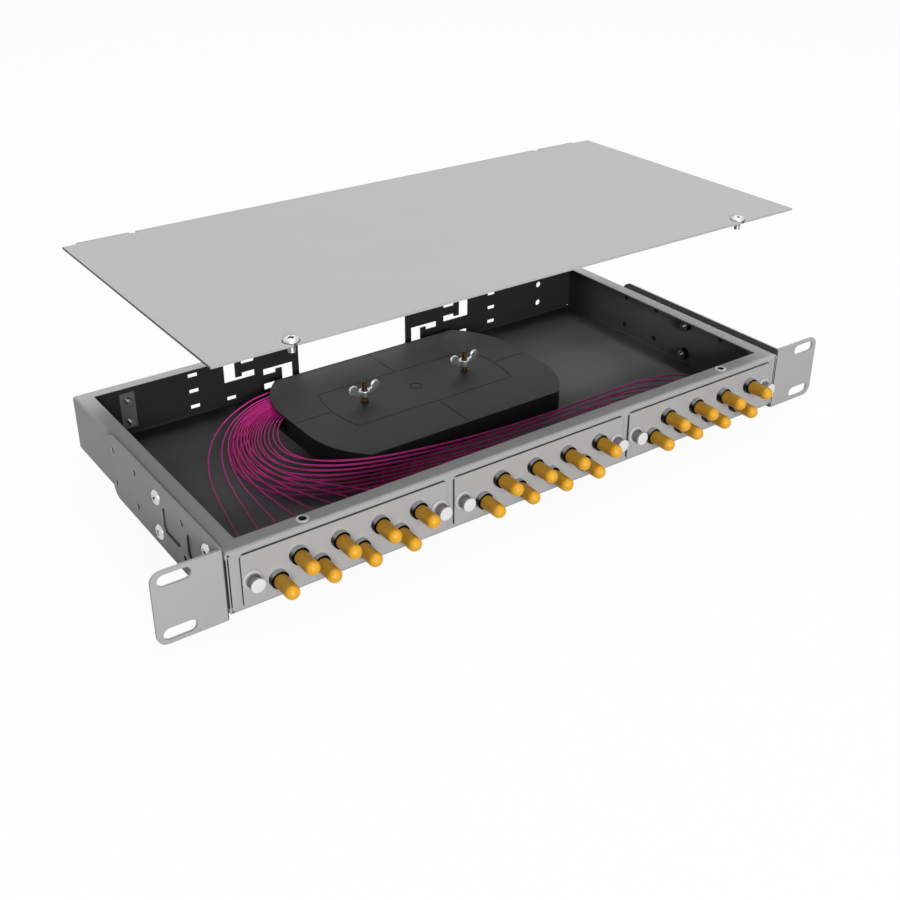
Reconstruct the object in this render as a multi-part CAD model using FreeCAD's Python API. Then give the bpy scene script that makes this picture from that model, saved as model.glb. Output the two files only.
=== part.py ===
import FreeCAD, Part
import math
import os

# Fibre patch panel, one rack unit high, for 24 simplex couplers.
# Millimetres. The origin is the centre of the rack hole pattern on the front face of the ears.
# +X is to the right seen from the front, +Y goes into the rack, +Z is up.
# The cover is drawn lifted off the tray by COVER_LIFT.

V = FreeCAD.Vector

# Rack fixing
RACK_WIDTH = 482.6
EAR_REACH = 39.3
EAR_HEIGHT = 43.2
EAR_CORNER = 6.0
SLOT_PITCH = 31.75
SLOT_EDGE = 12.5
SLOT_LENGTH = 18.0
SLOT_WIDTH = 6.9

# Side brackets
BRACKET_SHEET = 1.5
BRACKET_BEND = 0.6
BRACKET_REAR_CORNER = 8.0
HOLE_COLUMN_PITCH = 31.75
FIRST_COLUMN = 17.4
COLUMN_COUNT = 5
BRACKET_REAR_MARGIN = 6.1
HOLE_ROW_SPREAD = 22.4
SPARE_HOLE = 4.0
SCREWED_COLUMNS = (0, 2)
WINDOWED_GAPS = (0, 1)
WINDOW_LENGTH = 22.5
WINDOW_HEIGHT = 16.4
WINDOW_CORNER = 4.0

# Tray, folded from one sheet
TRAY_DEPTH = 211.0
TRAY_HEIGHT = 38.1
TRAY_DROP = 19.7
TRAY_SHEET = 1.2
TRAY_BEND = 1.1
FRONT_FLANGE = 10.2
REAR_FLANGE = 8.8
SIDE_FLANGE = 10.3
SEAM = 0.35
RELIEF = 1.9

# Cut-outs of the rear wall, each one repeated on the other half
CABLE_OPENING_WIDTH = 89.0
CABLE_OPENING_HEIGHT = 24.5
CABLE_OPENING_Z = 0.25
CABLE_OPENING_CORNER = 3.0
TIE_WINDOW_WIDTH = 22.6
TIE_WINDOW_HEIGHT = 15.6
TIE_STEM_LENGTH = 9.6
TIE_STEM_HEIGHT = 6.2
TIE_HEAD_WIDTH = 4.6
TIE_HEAD_HEIGHT = 11.2
OUTER_TIE_ROOT_X = 78.2
OUTER_TIE_Z = 5.8
INNER_TIE_ROOT_X = 71.9
INNER_TIE_Z = -7.3
STRAP_SLOT_WIDTH = 6.8
STRAP_SLOT_HEIGHT = 2.9
STRAP_SLOT_X = 122.8
STRAP_SLOT_ZS = (10.5, -0.9, -12.3)
LOW_SLOT_X = 96.5
LOW_SLOT_Z = -13.8
REAR_HOLE = 4.6
REAR_HOLE_EDGE = 33.0
REAR_HOLE_ZS = (6.9, -8.1)

# Strength plate behind the left rear holes and its screws
NUT_PLATE_WIDTH = 10.0
NUT_PLATE_MARGIN = 5.0
NUT_PLATE_SHEET = 2.0
REAR_SCREW = 4.0
REAR_SCREW_HEAD = 7.6
REAR_SCREW_HEAD_HEIGHT = 2.2
REAR_SCREW_LENGTH = 8.0

# Screws that hold the brackets
BRACKET_SCREW = 5.0
BRACKET_SCREW_HEAD = 9.2
BRACKET_SCREW_HEAD_HEIGHT = 2.1
BRACKET_SCREW_LENGTH = 9.0
BRACKET_NUT_FLATS = 8.0
BRACKET_NUT_HEIGHT = 3.8
SCREW_CLEARANCE = 0.15

# Cover
COVER_LIFT = 99.5
COVER_SIDE_GAP = 3.1
COVER_SHEET = 1.2
COVER_FRONT_GAP = 1.7
COVER_REAR_GAP = 6.5
LIP_DROP = 1.4
LIP_LENGTH = 6.2
LIP_INSET = 2.9
LIP_BEND = 0.8
LIP_NOTCH = 4.5
COVER_SCREW_EDGE = 47.5
COVER_SCREW_Y = 6.2
COVER_SCREW = 4.0
COVER_SCREW_HEAD = 8.0
COVER_SCREW_HEAD_HEIGHT = 2.1
COVER_SCREW_LENGTH = 6.0
COVER_HOLE_CLEARANCE = 0.3
RIVET_FLANGE = 7.6
RIVET_FLANGE_HEIGHT = 0.4
RIVET_BODY = 6.0
RIVET_BULGE = 7.2
RIVET_LENGTH = 6.5
RIVET_CLEARANCE = 0.05

# Coupler plates on the front wall
PLATE_COUNT = 3
PLATE_HEIGHT = 32.0
PLATE_SHEET = 1.5
PLATE_GAP = 5.0
PLATE_END_MARGIN = 7.4
PLATE_Z = -0.85
PLATE_CORNER = 2.0
OPENING_CORNER = 3.0
PORTS_PER_PLATE = 8
UPPER_ROW = 4.95
LOWER_ROW = -4.9
LATCH_MARGIN = 5.5
LATCH_TO_PORT = 14.3

# Couplers, their nuts and the plugs behind them
COLLAR = 10.4
COLLAR_LENGTH = 3.5
THREAD = 8.0
THREAD_LENGTH = 9.5
BARREL = 6.4
FRONT_BARREL = 9.5
REAR_BARREL = 5.0
FERRULE = 2.5
FIT = 0.05
NUT_FLATS = 10.0
NUT_HEIGHT = 2.5
NUT_ROOM = 1.8
PLUG = 8.8
PLUG_LENGTH = 12.0
BOOT = 5.2
BOOT_TIP = 2.0
BOOT_LENGTH = 7.0
PLUG_FLOOR_GAP = 0.2

# Dust caps
CAP = 8.2
CAP_LENGTH = 15.8
CAP_BORE_DEPTH = 10.5

# Push latches: a split sleeve through plate and wall, and the plunger inside it
SLEEVE_FLANGE = 11.4
SLEEVE_FLANGE_HEIGHT = 1.6
SLEEVE_BODY = 6.0
SLEEVE_BARB = 6.8
SLEEVE_LENGTH = 4.6
LATCH_CLEARANCE = 0.05
PLUNGER_PIN = 3.7
PLUNGER_NECK = 6.0
PLUNGER_NECK_LENGTH = 3.4
PLUNGER_HEAD = 9.7
PLUNGER_HEAD_LENGTH = 2.5
PLUNGER_PIN_LENGTH = 8.4

# Splice cassette
CASSETTE_X = 5.3
CASSETTE_REAR_GAP = 9.3
CASSETTE_LENGTH = 186.2
CASSETTE_DEPTH = 123.6
CASSETTE_END_FLAT = 35.2
CASSETTE_END_RADIUS = 59.4
CASSETTE_CORNER = 5.0
CASSETTE_HEIGHT = 13.5
CASSETTE_WALL = 1.4
LID_SHEET = 1.3
LID_RIB_DEPTH = 1.6
LID_RIB = 1.0
LID_FIT = 0.25
GROOVE_WIDTH = 0.7
GROOVE_DEPTH = 0.35
GROOVE_PANEL_LENGTH = 122.0
GROOVE_PANEL_DEPTH = 52.0
GROOVE_PANEL_BULGE = 4.0
CENTRE_BOSS = 8.0
MOUTH_FROM = 11.0
MOUTH_TO = 60.0
MOUTH_REACH = 24.0
MOUTH_SILL = 1.2
GUIDE_RADIUS = 30.0
GUIDE_WALL = 1.2
GUIDE_HEIGHT = 7.8
GUIDE_ANGLE = 120.0
TAB_WIDTH = 12.0
TAB_REACH = 6.0
TAB_THICKNESS = 1.0
TAB_SPREAD = 45.0
TAB_UNDER_LID = 0.4
STUD_SPREAD = 80.6
STUD = 3.8
STUD_LENGTH = 28.3
STUD_FOOT = 7.0
STUD_FOOT_HEIGHT = 1.0
STUD_BOSS = 8.4
STUD_CLEARANCE = 0.3
LID_RING = 5.6
LID_RING_HEIGHT = 0.7

# Wing nuts
WING_NUT_LIFT = 4.4
WING_HUB = 7.0
WING_HUB_TOP = 5.6
WING_HUB_HEIGHT = 5.1
WING_SPAN = 24.0
WING_TIP_RADIUS = 2.9
WING_THICKNESS = 1.8
WING_RISE = 5.4
WING_CLEARANCE = 0.05

# Splice holders and sleeves inside the cassette
HOLDER_COUNT = 2
HOLDER_LENGTH = 30.0
HOLDER_SHEET = 1.0
SLEEVES_PER_HOLDER = 12
SPLICE_SLEEVE = 2.6
SPLICE_SLEEVE_LENGTH = 45.0
SPLICE_PITCH = 3.6
FIN_THICKNESS = 0.8
FIN_HEIGHT = 2.6
FIN_LENGTH = 6.0
HOLDER_FIT = 0.05

# Fibres
FIBRE = 0.9

# Places that follow from the sizes above
TRAY_BOTTOM = -TRAY_DROP
TRAY_TOP = TRAY_HEIGHT - TRAY_DROP
TRAY_FLOOR = TRAY_BOTTOM + TRAY_SHEET
TRAY_WIDTH = RACK_WIDTH - 2 * EAR_REACH
TRAY_SIDE = TRAY_WIDTH / 2
BRACKET_FACE = TRAY_SIDE + BRACKET_SHEET
BRACKET_DEPTH = FIRST_COLUMN + (COLUMN_COUNT - 1) * HOLE_COLUMN_PITCH + BRACKET_REAR_MARGIN
SLOT_SPREAD = RACK_WIDTH - 2 * SLOT_EDGE
REAR_HOLE_X = TRAY_SIDE - REAR_HOLE_EDGE
COVER_WIDTH = TRAY_WIDTH - 2 * COVER_SIDE_GAP
COVER_SCREW_X = TRAY_SIDE - COVER_SCREW_EDGE
COVER_CLOSED = TRAY_TOP + RIVET_FLANGE_HEIGHT
COVER_UNDER = COVER_CLOSED + COVER_LIFT
COVER_TOP = COVER_UNDER + COVER_SHEET
COVER_REAR = TRAY_DEPTH - REAR_FLANGE - COVER_REAR_GAP
PLATE_PITCH = (TRAY_WIDTH - 2 * PLATE_END_MARGIN + PLATE_GAP) / PLATE_COUNT
PLATE_WIDTH = PLATE_PITCH - PLATE_GAP
LATCH_SPREAD = PLATE_WIDTH - 2 * LATCH_MARGIN
PORT_SPREAD = LATCH_SPREAD - 2 * LATCH_TO_PORT
PORT_PITCH = PORT_SPREAD / (PORTS_PER_PLATE - 1)
PLATE_FACE = -PLATE_SHEET
COLLAR_FACE = PLATE_FACE - COLLAR_LENGTH
THREAD_END = PLATE_FACE + THREAD_LENGTH
PLUG_END = THREAD_END + PLUG_LENGTH
BOOT_END = PLUG_END + BOOT_LENGTH
SLEEVE_FACE = PLATE_FACE - SLEEVE_FLANGE_HEIGHT
LID_TOP = TRAY_FLOOR + CASSETTE_HEIGHT
LID_UNDER = LID_TOP - LID_SHEET
CASSETTE_Y = TRAY_DEPTH - TRAY_SHEET - CASSETTE_REAR_GAP - CASSETTE_DEPTH / 2


def box(x0, x1, y0, y1, z0, z1):
    return Part.makeBox(x1 - x0, y1 - y0, z1 - z0, V(x0, y0, z0))


def edges_along(shape, axis):
    """The straight edges of a shape that run along a direction."""
    found = []
    for edge in shape.Edges:
        run = edge.Vertexes[-1].Point - edge.Vertexes[0].Point
        if run.Length > 0 and abs(abs(run.normalize().dot(axis)) - 1) < 1e-6:
            found.append(edge)
    return found


def soft_box(x0, x1, y0, y1, z0, z1, axis, radius):
    """A box whose four edges along one axis are rounded."""
    block = box(x0, x1, y0, y1, z0, z1)
    return block.makeFillet(radius, edges_along(block, axis))


def rod(axis, start, radius, length):
    return Part.makeCylinder(radius, length, start, axis)


def outline(start, *steps):
    """A face whose edge goes through the steps and back to its start. A step is the next corner, or
    a pair for an arc: a point on the way and its end."""
    edges = []
    here = start
    for step in steps + (start,):
        if isinstance(step, tuple):
            through, end = step
            edges.append(Part.Arc(here, through, end).toShape())
            here = end
        elif (step - here).Length > 1e-6:
            edges.append(Part.LineSegment(here, step).toShape())
            here = step
    return Part.Face(Part.Wire(edges))


def polygon_face(points):
    return outline(*points)


def turned_y(profile, x, z):
    """A turned piece about an axis along Y: the profile is a list of (radius, y)."""
    face = polygon_face([V(x + r, y, z) for r, y in profile])
    return face.revolve(V(x, 0, z), V(0, 1, 0), 360)


def turned_z(profile, x, y):
    """A turned piece about an upright axis: the profile is a list of (radius, z)."""
    face = polygon_face([V(x + r, y, z) for r, z in profile])
    return face.revolve(V(x, y, 0), V(0, 0, 1), 360)


def turned_x(profile, y, z):
    """A turned piece about an axis along X: the profile is a list of (radius, x)."""
    face = polygon_face([V(x, y + r, z) for r, x in profile])
    return face.revolve(V(0, y, z), V(1, 0, 0), 360)


def hexagon(centre, across_corners, normal_axis):
    """A six-sided face square to Y or X, with two corners up and down."""
    points = []
    for step in range(6):
        angle = math.radians(60 * step + 30)
        a = across_corners / 2 * math.cos(angle)
        b = across_corners / 2 * math.sin(angle)
        offset = V(a, 0, b) if normal_axis == "Y" else V(0, a, b)
        points.append(centre + offset)
    return polygon_face(points)


def across_corners(flats):
    return flats / math.cos(math.radians(30))


def mirrored(shape):
    return shape.mirror(V(0, 0, 0), V(1, 0, 0))


def both_sides(shape):
    return [shape, mirrored(shape)]


def column_ys():
    return [FIRST_COLUMN + HOLE_COLUMN_PITCH * i for i in range(COLUMN_COUNT)]


def row_zs():
    return (HOLE_ROW_SPREAD / 2, -HOLE_ROW_SPREAD / 2)


def plate_xs():
    first = -PLATE_PITCH * (PLATE_COUNT - 1) / 2
    return [first + PLATE_PITCH * i for i in range(PLATE_COUNT)]


def ports(plate_x):
    """Port centres of one plate: the rows alternate, and the first port is a low one."""
    found = []
    for i in range(PORTS_PER_PLATE):
        x = plate_x - PORT_SPREAD / 2 + PORT_PITCH * i
        row = LOWER_ROW if i % 2 == 0 else UPPER_ROW
        found.append((x, PLATE_Z + row))
    return found


def latch_xs():
    found = []
    for x in plate_xs():
        found += [x - LATCH_SPREAD / 2, x + LATCH_SPREAD / 2]
    return found


def tie_window(root_x, z, way):
    """A window in the rear wall with a T-shaped tongue for cable ties, rooted at one end."""
    far = root_x + way * TIE_WINDOW_WIDTH
    stem_end = root_x + way * TIE_STEM_LENGTH
    head_end = stem_end + way * TIE_HEAD_WIDTH
    y0 = TRAY_DEPTH - 2 * TRAY_SHEET
    y1 = TRAY_DEPTH + TRAY_SHEET

    def block(a, b, height):
        return box(min(a, b), max(a, b), y0, y1, z - height / 2, z + height / 2)

    window = block(root_x, far, TIE_WINDOW_HEIGHT)
    tongue = block(root_x - way, stem_end, TIE_STEM_HEIGHT)
    head = block(stem_end, head_end, TIE_HEAD_HEIGHT)
    return window.cut([tongue, head])


def rear_cutouts():
    y0 = TRAY_DEPTH - 2 * TRAY_SHEET
    y1 = TRAY_DEPTH + TRAY_SHEET
    half = CABLE_OPENING_HEIGHT / 2
    cuts = [
        soft_box(
            -CABLE_OPENING_WIDTH / 2,
            CABLE_OPENING_WIDTH / 2,
            y0,
            y1,
            CABLE_OPENING_Z - half,
            CABLE_OPENING_Z + half,
            V(0, 1, 0),
            CABLE_OPENING_CORNER,
        )
    ]
    cuts += both_sides(tie_window(OUTER_TIE_ROOT_X, OUTER_TIE_Z, 1))
    cuts += both_sides(tie_window(INNER_TIE_ROOT_X, INNER_TIE_Z, -1))
    slots = [(STRAP_SLOT_X, z) for z in STRAP_SLOT_ZS] + [(LOW_SLOT_X, LOW_SLOT_Z)]
    for x, z in slots:
        slot = box(
            x - STRAP_SLOT_WIDTH / 2,
            x + STRAP_SLOT_WIDTH / 2,
            y0,
            y1,
            z - STRAP_SLOT_HEIGHT / 2,
            z + STRAP_SLOT_HEIGHT / 2,
        )
        cuts += both_sides(slot)
    for z in REAR_HOLE_ZS:
        cuts += both_sides(rod(V(0, 1, 0), V(REAR_HOLE_X, y0, z), REAR_HOLE / 2, y1 - y0))
    return cuts


def front_cutouts():
    """Openings behind the plates, the latch holes and the rivet nut holes."""
    cuts = []
    upper = PLATE_Z + UPPER_ROW + across_corners(NUT_FLATS) / 2 + NUT_ROOM
    lower = PLATE_Z + LOWER_ROW - across_corners(NUT_FLATS) / 2 - NUT_ROOM
    reach = PORT_SPREAD / 2 + NUT_FLATS / 2 + NUT_ROOM
    for x in plate_xs():
        cuts.append(
            soft_box(
                x - reach,
                x + reach,
                -TRAY_SHEET,
                2 * TRAY_SHEET,
                lower,
                upper,
                V(0, 1, 0),
                OPENING_CORNER,
            )
        )
    for x in latch_xs():
        start = V(x, -TRAY_SHEET, PLATE_Z)
        cuts.append(rod(V(0, 1, 0), start, SLEEVE_BODY / 2, 3 * TRAY_SHEET))
    for x in (-COVER_SCREW_X, COVER_SCREW_X):
        start = V(x, COVER_SCREW_Y, TRAY_TOP - 2 * TRAY_SHEET)
        cuts.append(rod(V(0, 0, 1), start, RIVET_BODY / 2, 3 * TRAY_SHEET))
    return cuts


def side_holes(x0, x1):
    """The columns of holes that the brackets and the tray's sides share."""
    cuts = []
    for index, y in enumerate(column_ys()):
        screwed = index in SCREWED_COLUMNS
        diameter = BRACKET_SCREW + 2 * SCREW_CLEARANCE if screwed else SPARE_HOLE
        for z in row_zs():
            cuts.append(rod(V(1, 0, 0), V(x0, y, z), diameter / 2, x1 - x0))
    return cuts


def corner_seams():
    """The open seams of the folded corners, with a small relief at each end."""
    inner = TRAY_SIDE - TRAY_SHEET
    bend = TRAY_BEND + TRAY_SHEET
    cuts = []
    for y0, y1 in ((-TRAY_SHEET, TRAY_SHEET), (TRAY_DEPTH - TRAY_SHEET, TRAY_DEPTH + TRAY_SHEET)):
        seam = box(inner - SEAM, inner, y0, y1, TRAY_BOTTOM + bend, TRAY_TOP - bend)
        cuts += both_sides(seam)
        for z, way in ((TRAY_TOP - bend, 1), (TRAY_BOTTOM + bend, -1)):
            relief = polygon_face(
                [
                    V(inner, y0, z - way * SEAM),
                    V(inner - RELIEF, y0, z - way * SEAM),
                    V(inner, y0, z + way * (RELIEF - SEAM)),
                ]
            ).extrude(V(0, y1 - y0, 0))
            cuts += both_sides(relief)
    return cuts


def chassis_tray():
    outer = box(-TRAY_SIDE, TRAY_SIDE, 0, TRAY_DEPTH, TRAY_BOTTOM, TRAY_TOP)
    level = edges_along(outer, V(1, 0, 0)) + edges_along(outer, V(0, 1, 0))
    outer = outer.makeFillet(TRAY_BEND + TRAY_SHEET, level)
    inner = box(
        -TRAY_SIDE + TRAY_SHEET,
        TRAY_SIDE - TRAY_SHEET,
        TRAY_SHEET,
        TRAY_DEPTH - TRAY_SHEET,
        TRAY_FLOOR,
        TRAY_TOP - TRAY_SHEET,
    )
    level = edges_along(inner, V(1, 0, 0)) + edges_along(inner, V(0, 1, 0))
    inner = inner.makeFillet(TRAY_BEND, level)
    mouth = box(
        -TRAY_SIDE + SIDE_FLANGE,
        TRAY_SIDE - SIDE_FLANGE,
        FRONT_FLANGE,
        TRAY_DEPTH - REAR_FLANGE,
        TRAY_TOP - 2 * TRAY_SHEET,
        TRAY_TOP + TRAY_SHEET,
    )
    side_cuts = []
    for cut in side_holes(TRAY_SIDE - 2 * TRAY_SHEET, TRAY_SIDE + TRAY_SHEET):
        side_cuts += both_sides(cut)
    shell = outer.cut([inner, mouth])
    return shell.cut(front_cutouts() + rear_cutouts() + side_cuts + corner_seams())


def bracket():
    """The right bracket: one L section, pierced, with rounded corners."""
    inner_r = BRACKET_BEND
    outer_r = BRACKET_BEND + BRACKET_SHEET
    half = RACK_WIDTH / 2
    low = -EAR_HEIGHT / 2
    turn = math.sqrt(0.5)

    def at(x, y):
        return V(x, y, low)

    bend_x = TRAY_SIDE + outer_r
    bend_y = outer_r
    section = outline(
        at(half, 0),
        at(bend_x, 0),
        (at(bend_x - outer_r * turn, bend_y - outer_r * turn), at(TRAY_SIDE, bend_y)),
        at(TRAY_SIDE, BRACKET_DEPTH),
        at(BRACKET_FACE, BRACKET_DEPTH),
        at(BRACKET_FACE, bend_y),
        (at(bend_x - inner_r * turn, bend_y - inner_r * turn), at(bend_x, BRACKET_SHEET)),
        at(half, BRACKET_SHEET),
    )
    body = section.extrude(V(0, 0, EAR_HEIGHT))
    ear_edges = [e for e in edges_along(body, V(0, 1, 0)) if e.CenterOfMass.x > half - 1e-3]
    body = body.makeFillet(EAR_CORNER, ear_edges)
    rear_edges = [
        e for e in edges_along(body, V(1, 0, 0)) if e.CenterOfMass.y > BRACKET_DEPTH - 1e-3
    ]
    body = body.makeFillet(BRACKET_REAR_CORNER, rear_edges)
    cuts = side_holes(TRAY_SIDE - BRACKET_SHEET, BRACKET_FACE + BRACKET_SHEET)
    ys = column_ys()
    for gap in WINDOWED_GAPS:
        y = (ys[gap] + ys[gap + 1]) / 2
        cuts.append(
            soft_box(
                TRAY_SIDE - BRACKET_SHEET,
                BRACKET_FACE + BRACKET_SHEET,
                y - WINDOW_LENGTH / 2,
                y + WINDOW_LENGTH / 2,
                -WINDOW_HEIGHT / 2,
                WINDOW_HEIGHT / 2,
                V(1, 0, 0),
                WINDOW_CORNER,
            )
        )
    for z in (SLOT_PITCH / 2, -SLOT_PITCH / 2):
        cuts.append(
            soft_box(
                SLOT_SPREAD / 2 - SLOT_LENGTH / 2,
                SLOT_SPREAD / 2 + SLOT_LENGTH / 2,
                -BRACKET_SHEET,
                2 * BRACKET_SHEET,
                z - SLOT_WIDTH / 2,
                z + SLOT_WIDTH / 2,
                V(0, 1, 0),
                SLOT_WIDTH / 2 - 0.001,
            )
        )
    return body.cut(cuts)


def pan_profile(face, way, head, head_height, shank, length):
    """Half section of a pan head screw: positions run along its axis from the face it sits on."""
    dome = head_height * 0.4
    return [
        (0, face + way * head_height),
        (head / 2 - dome, face + way * head_height),
        (head / 2, face + way * (head_height - dome)),
        (head / 2, face),
        (shank / 2, face),
        (shank / 2, face - way * length),
        (0, face - way * length),
    ]


def bracket_screws():
    solids = []
    profile = pan_profile(
        BRACKET_FACE,
        1,
        BRACKET_SCREW_HEAD,
        BRACKET_SCREW_HEAD_HEIGHT,
        BRACKET_SCREW,
        BRACKET_SCREW_LENGTH,
    )
    ys = column_ys()
    for index in SCREWED_COLUMNS:
        for z in row_zs():
            solids += both_sides(turned_x(profile, ys[index], z))
    return solids


def bracket_nuts():
    solids = []
    seat = TRAY_SIDE - TRAY_SHEET
    ys = column_ys()
    for index in SCREWED_COLUMNS:
        for z in row_zs():
            start = V(seat - BRACKET_NUT_HEIGHT, ys[index], z)
            nut = hexagon(start, across_corners(BRACKET_NUT_FLATS), "X")
            nut = nut.extrude(V(BRACKET_NUT_HEIGHT, 0, 0))
            bore = rod(V(1, 0, 0), start, BRACKET_SCREW / 2 + FIT, BRACKET_NUT_HEIGHT)
            solids += both_sides(nut.cut(bore))
    return solids


def rear_nut_plate():
    seat = TRAY_DEPTH - TRAY_SHEET
    plate = box(
        -REAR_HOLE_X - NUT_PLATE_WIDTH / 2,
        -REAR_HOLE_X + NUT_PLATE_WIDTH / 2,
        seat - NUT_PLATE_SHEET,
        seat,
        min(REAR_HOLE_ZS) - NUT_PLATE_MARGIN,
        max(REAR_HOLE_ZS) + NUT_PLATE_MARGIN,
    )
    bores = [
        rod(V(0, 1, 0), V(-REAR_HOLE_X, seat - NUT_PLATE_SHEET, z), REAR_SCREW / 2 + FIT, NUT_PLATE_SHEET)
        for z in REAR_HOLE_ZS
    ]
    return plate.cut(bores)


def rear_screws():
    profile = pan_profile(
        TRAY_DEPTH, 1, REAR_SCREW_HEAD, REAR_SCREW_HEAD_HEIGHT, REAR_SCREW, REAR_SCREW_LENGTH
    )
    return [turned_y(profile, -REAR_HOLE_X, z) for z in REAR_HOLE_ZS]


def rivet_nuts():
    """Blind rivet nuts in the front flange, with the bulge that grips the sheet from below."""
    bore = COVER_SCREW / 2 + RIVET_CLEARANCE
    under = TRAY_TOP - TRAY_SHEET
    bulge_end = under - (RIVET_BULGE - RIVET_BODY) * 2
    profile = [
        (bore, TRAY_TOP + RIVET_FLANGE_HEIGHT),
        (RIVET_FLANGE / 2, TRAY_TOP + RIVET_FLANGE_HEIGHT),
        (RIVET_FLANGE / 2, TRAY_TOP),
        (RIVET_BODY / 2, TRAY_TOP),
        (RIVET_BODY / 2, under),
        (RIVET_BULGE / 2, under),
        (RIVET_BODY / 2, bulge_end),
        (RIVET_BODY / 2, TRAY_TOP - RIVET_LENGTH),
        (bore, TRAY_TOP - RIVET_LENGTH),
    ]
    return both_sides(turned_z(profile, COVER_SCREW_X, COVER_SCREW_Y))


def cover():
    """A flat sheet whose rear edge steps down into a lip that drops in beside the rear flange."""
    half = COVER_WIDTH / 2
    sheet = box(-half, half, COVER_FRONT_GAP, COVER_REAR, COVER_UNDER, COVER_TOP)
    lip_half = TRAY_SIDE - SIDE_FLANGE - LIP_INSET
    turn = math.sqrt(0.5)
    root = COVER_REAR - LIP_BEND - COVER_SHEET
    outer_y = COVER_REAR + LIP_BEND
    inner_y = outer_y - COVER_SHEET
    rear = COVER_REAR + LIP_LENGTH
    low_top = COVER_TOP - LIP_DROP
    low_under = low_top - COVER_SHEET

    def at(y, z):
        return V(-lip_half, y, z)

    section = outline(
        at(root, COVER_TOP),
        at(COVER_REAR, COVER_TOP),
        (
            at(COVER_REAR + LIP_BEND * turn, COVER_TOP - LIP_BEND * (1 - turn)),
            at(outer_y, COVER_TOP - LIP_BEND),
        ),
        at(outer_y, low_top),
        at(rear, low_top),
        at(rear, low_under),
        at(inner_y, low_under),
        at(inner_y, COVER_UNDER),
        at(root, COVER_UNDER),
    )
    lip = section.extrude(V(2 * lip_half, 0, 0))
    body = sheet.fuse(lip).removeSplitter()
    cuts = []
    notch = box(
        COVER_SCREW_X - LIP_NOTCH / 2,
        COVER_SCREW_X + LIP_NOTCH / 2,
        COVER_REAR - COVER_SHEET / 2,
        rear + COVER_SHEET,
        low_under - COVER_SHEET,
        COVER_TOP + COVER_SHEET,
    )
    cuts += both_sides(notch)
    hole = rod(
        V(0, 0, 1),
        V(COVER_SCREW_X, COVER_SCREW_Y, COVER_UNDER - COVER_SHEET),
        COVER_SCREW / 2 + COVER_HOLE_CLEARANCE,
        3 * COVER_SHEET,
    )
    cuts += both_sides(hole)
    return body.cut(cuts)


def cover_screw(x):
    profile = pan_profile(
        COVER_TOP, 1, COVER_SCREW_HEAD, COVER_SCREW_HEAD_HEIGHT, COVER_SCREW, COVER_SCREW_LENGTH
    )
    return turned_z(profile, x, COVER_SCREW_Y)


def coupler_plate(plate_x):
    plate = soft_box(
        plate_x - PLATE_WIDTH / 2,
        plate_x + PLATE_WIDTH / 2,
        PLATE_FACE,
        0,
        PLATE_Z - PLATE_HEIGHT / 2,
        PLATE_Z + PLATE_HEIGHT / 2,
        V(0, 1, 0),
        PLATE_CORNER,
    )
    cuts = []
    for x, z in ports(plate_x):
        cuts.append(rod(V(0, 1, 0), V(x, PLATE_FACE, z), THREAD / 2 + FIT, PLATE_SHEET))
    for way in (-1, 1):
        start = V(plate_x + way * LATCH_SPREAD / 2, PLATE_FACE, PLATE_Z)
        cuts.append(rod(V(0, 1, 0), start, SLEEVE_BODY / 2, PLATE_SHEET))
    return plate.cut(cuts)


def coupler(x, z):
    bore = FERRULE / 2 + FIT
    profile = [
        (bore, COLLAR_FACE - FRONT_BARREL),
        (BARREL / 2, COLLAR_FACE - FRONT_BARREL),
        (BARREL / 2, COLLAR_FACE),
        (COLLAR / 2, COLLAR_FACE),
        (COLLAR / 2, PLATE_FACE),
        (THREAD / 2, PLATE_FACE),
        (THREAD / 2, THREAD_END),
        (BARREL / 2, THREAD_END),
        (BARREL / 2, THREAD_END + REAR_BARREL),
        (bore, THREAD_END + REAR_BARREL),
    ]
    return turned_y(profile, x, z)


def coupler_nut(x, z):
    start = V(x, 0, z)
    nut = hexagon(start, across_corners(NUT_FLATS), "Y").extrude(V(0, NUT_HEIGHT, 0))
    return nut.cut(rod(V(0, 1, 0), start, THREAD / 2 + FIT, NUT_HEIGHT))


def plug(x, z):
    """A pigtail's plug: ferrule, coupling sleeve and tapered boot in one turned piece."""
    seat = THREAD_END + REAR_BARREL + PLUG_FLOOR_GAP
    profile = [
        (0, 0),
        (FERRULE / 2, 0),
        (FERRULE / 2, seat),
        (BARREL / 2 + FIT, seat),
        (BARREL / 2 + FIT, THREAD_END),
        (PLUG / 2, THREAD_END),
        (PLUG / 2, PLUG_END),
        (BOOT / 2, PLUG_END),
        (BOOT_TIP / 2, BOOT_END),
        (0, BOOT_END),
    ]
    return turned_y(profile, x, z)


def dust_cap(x, z):
    """A blind cap: a round nose, and a bore that slips over the coupler's barrel."""
    radius = CAP / 2
    tip = COLLAR_FACE - CAP_LENGTH
    shoulder = tip + radius
    bore = BARREL / 2 + FIT
    turn = math.sqrt(0.5)

    def at(r, y):
        return V(x + r, y, z)

    floor = COLLAR_FACE - CAP_BORE_DEPTH
    face = outline(
        at(0, tip),
        (at(radius * turn, shoulder - radius * turn), at(radius, shoulder)),
        at(radius, COLLAR_FACE),
        at(bore, COLLAR_FACE),
        at(bore, floor),
        at(0, floor),
    )
    return face.revolve(V(x, 0, z), V(0, 1, 0), 360)


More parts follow.
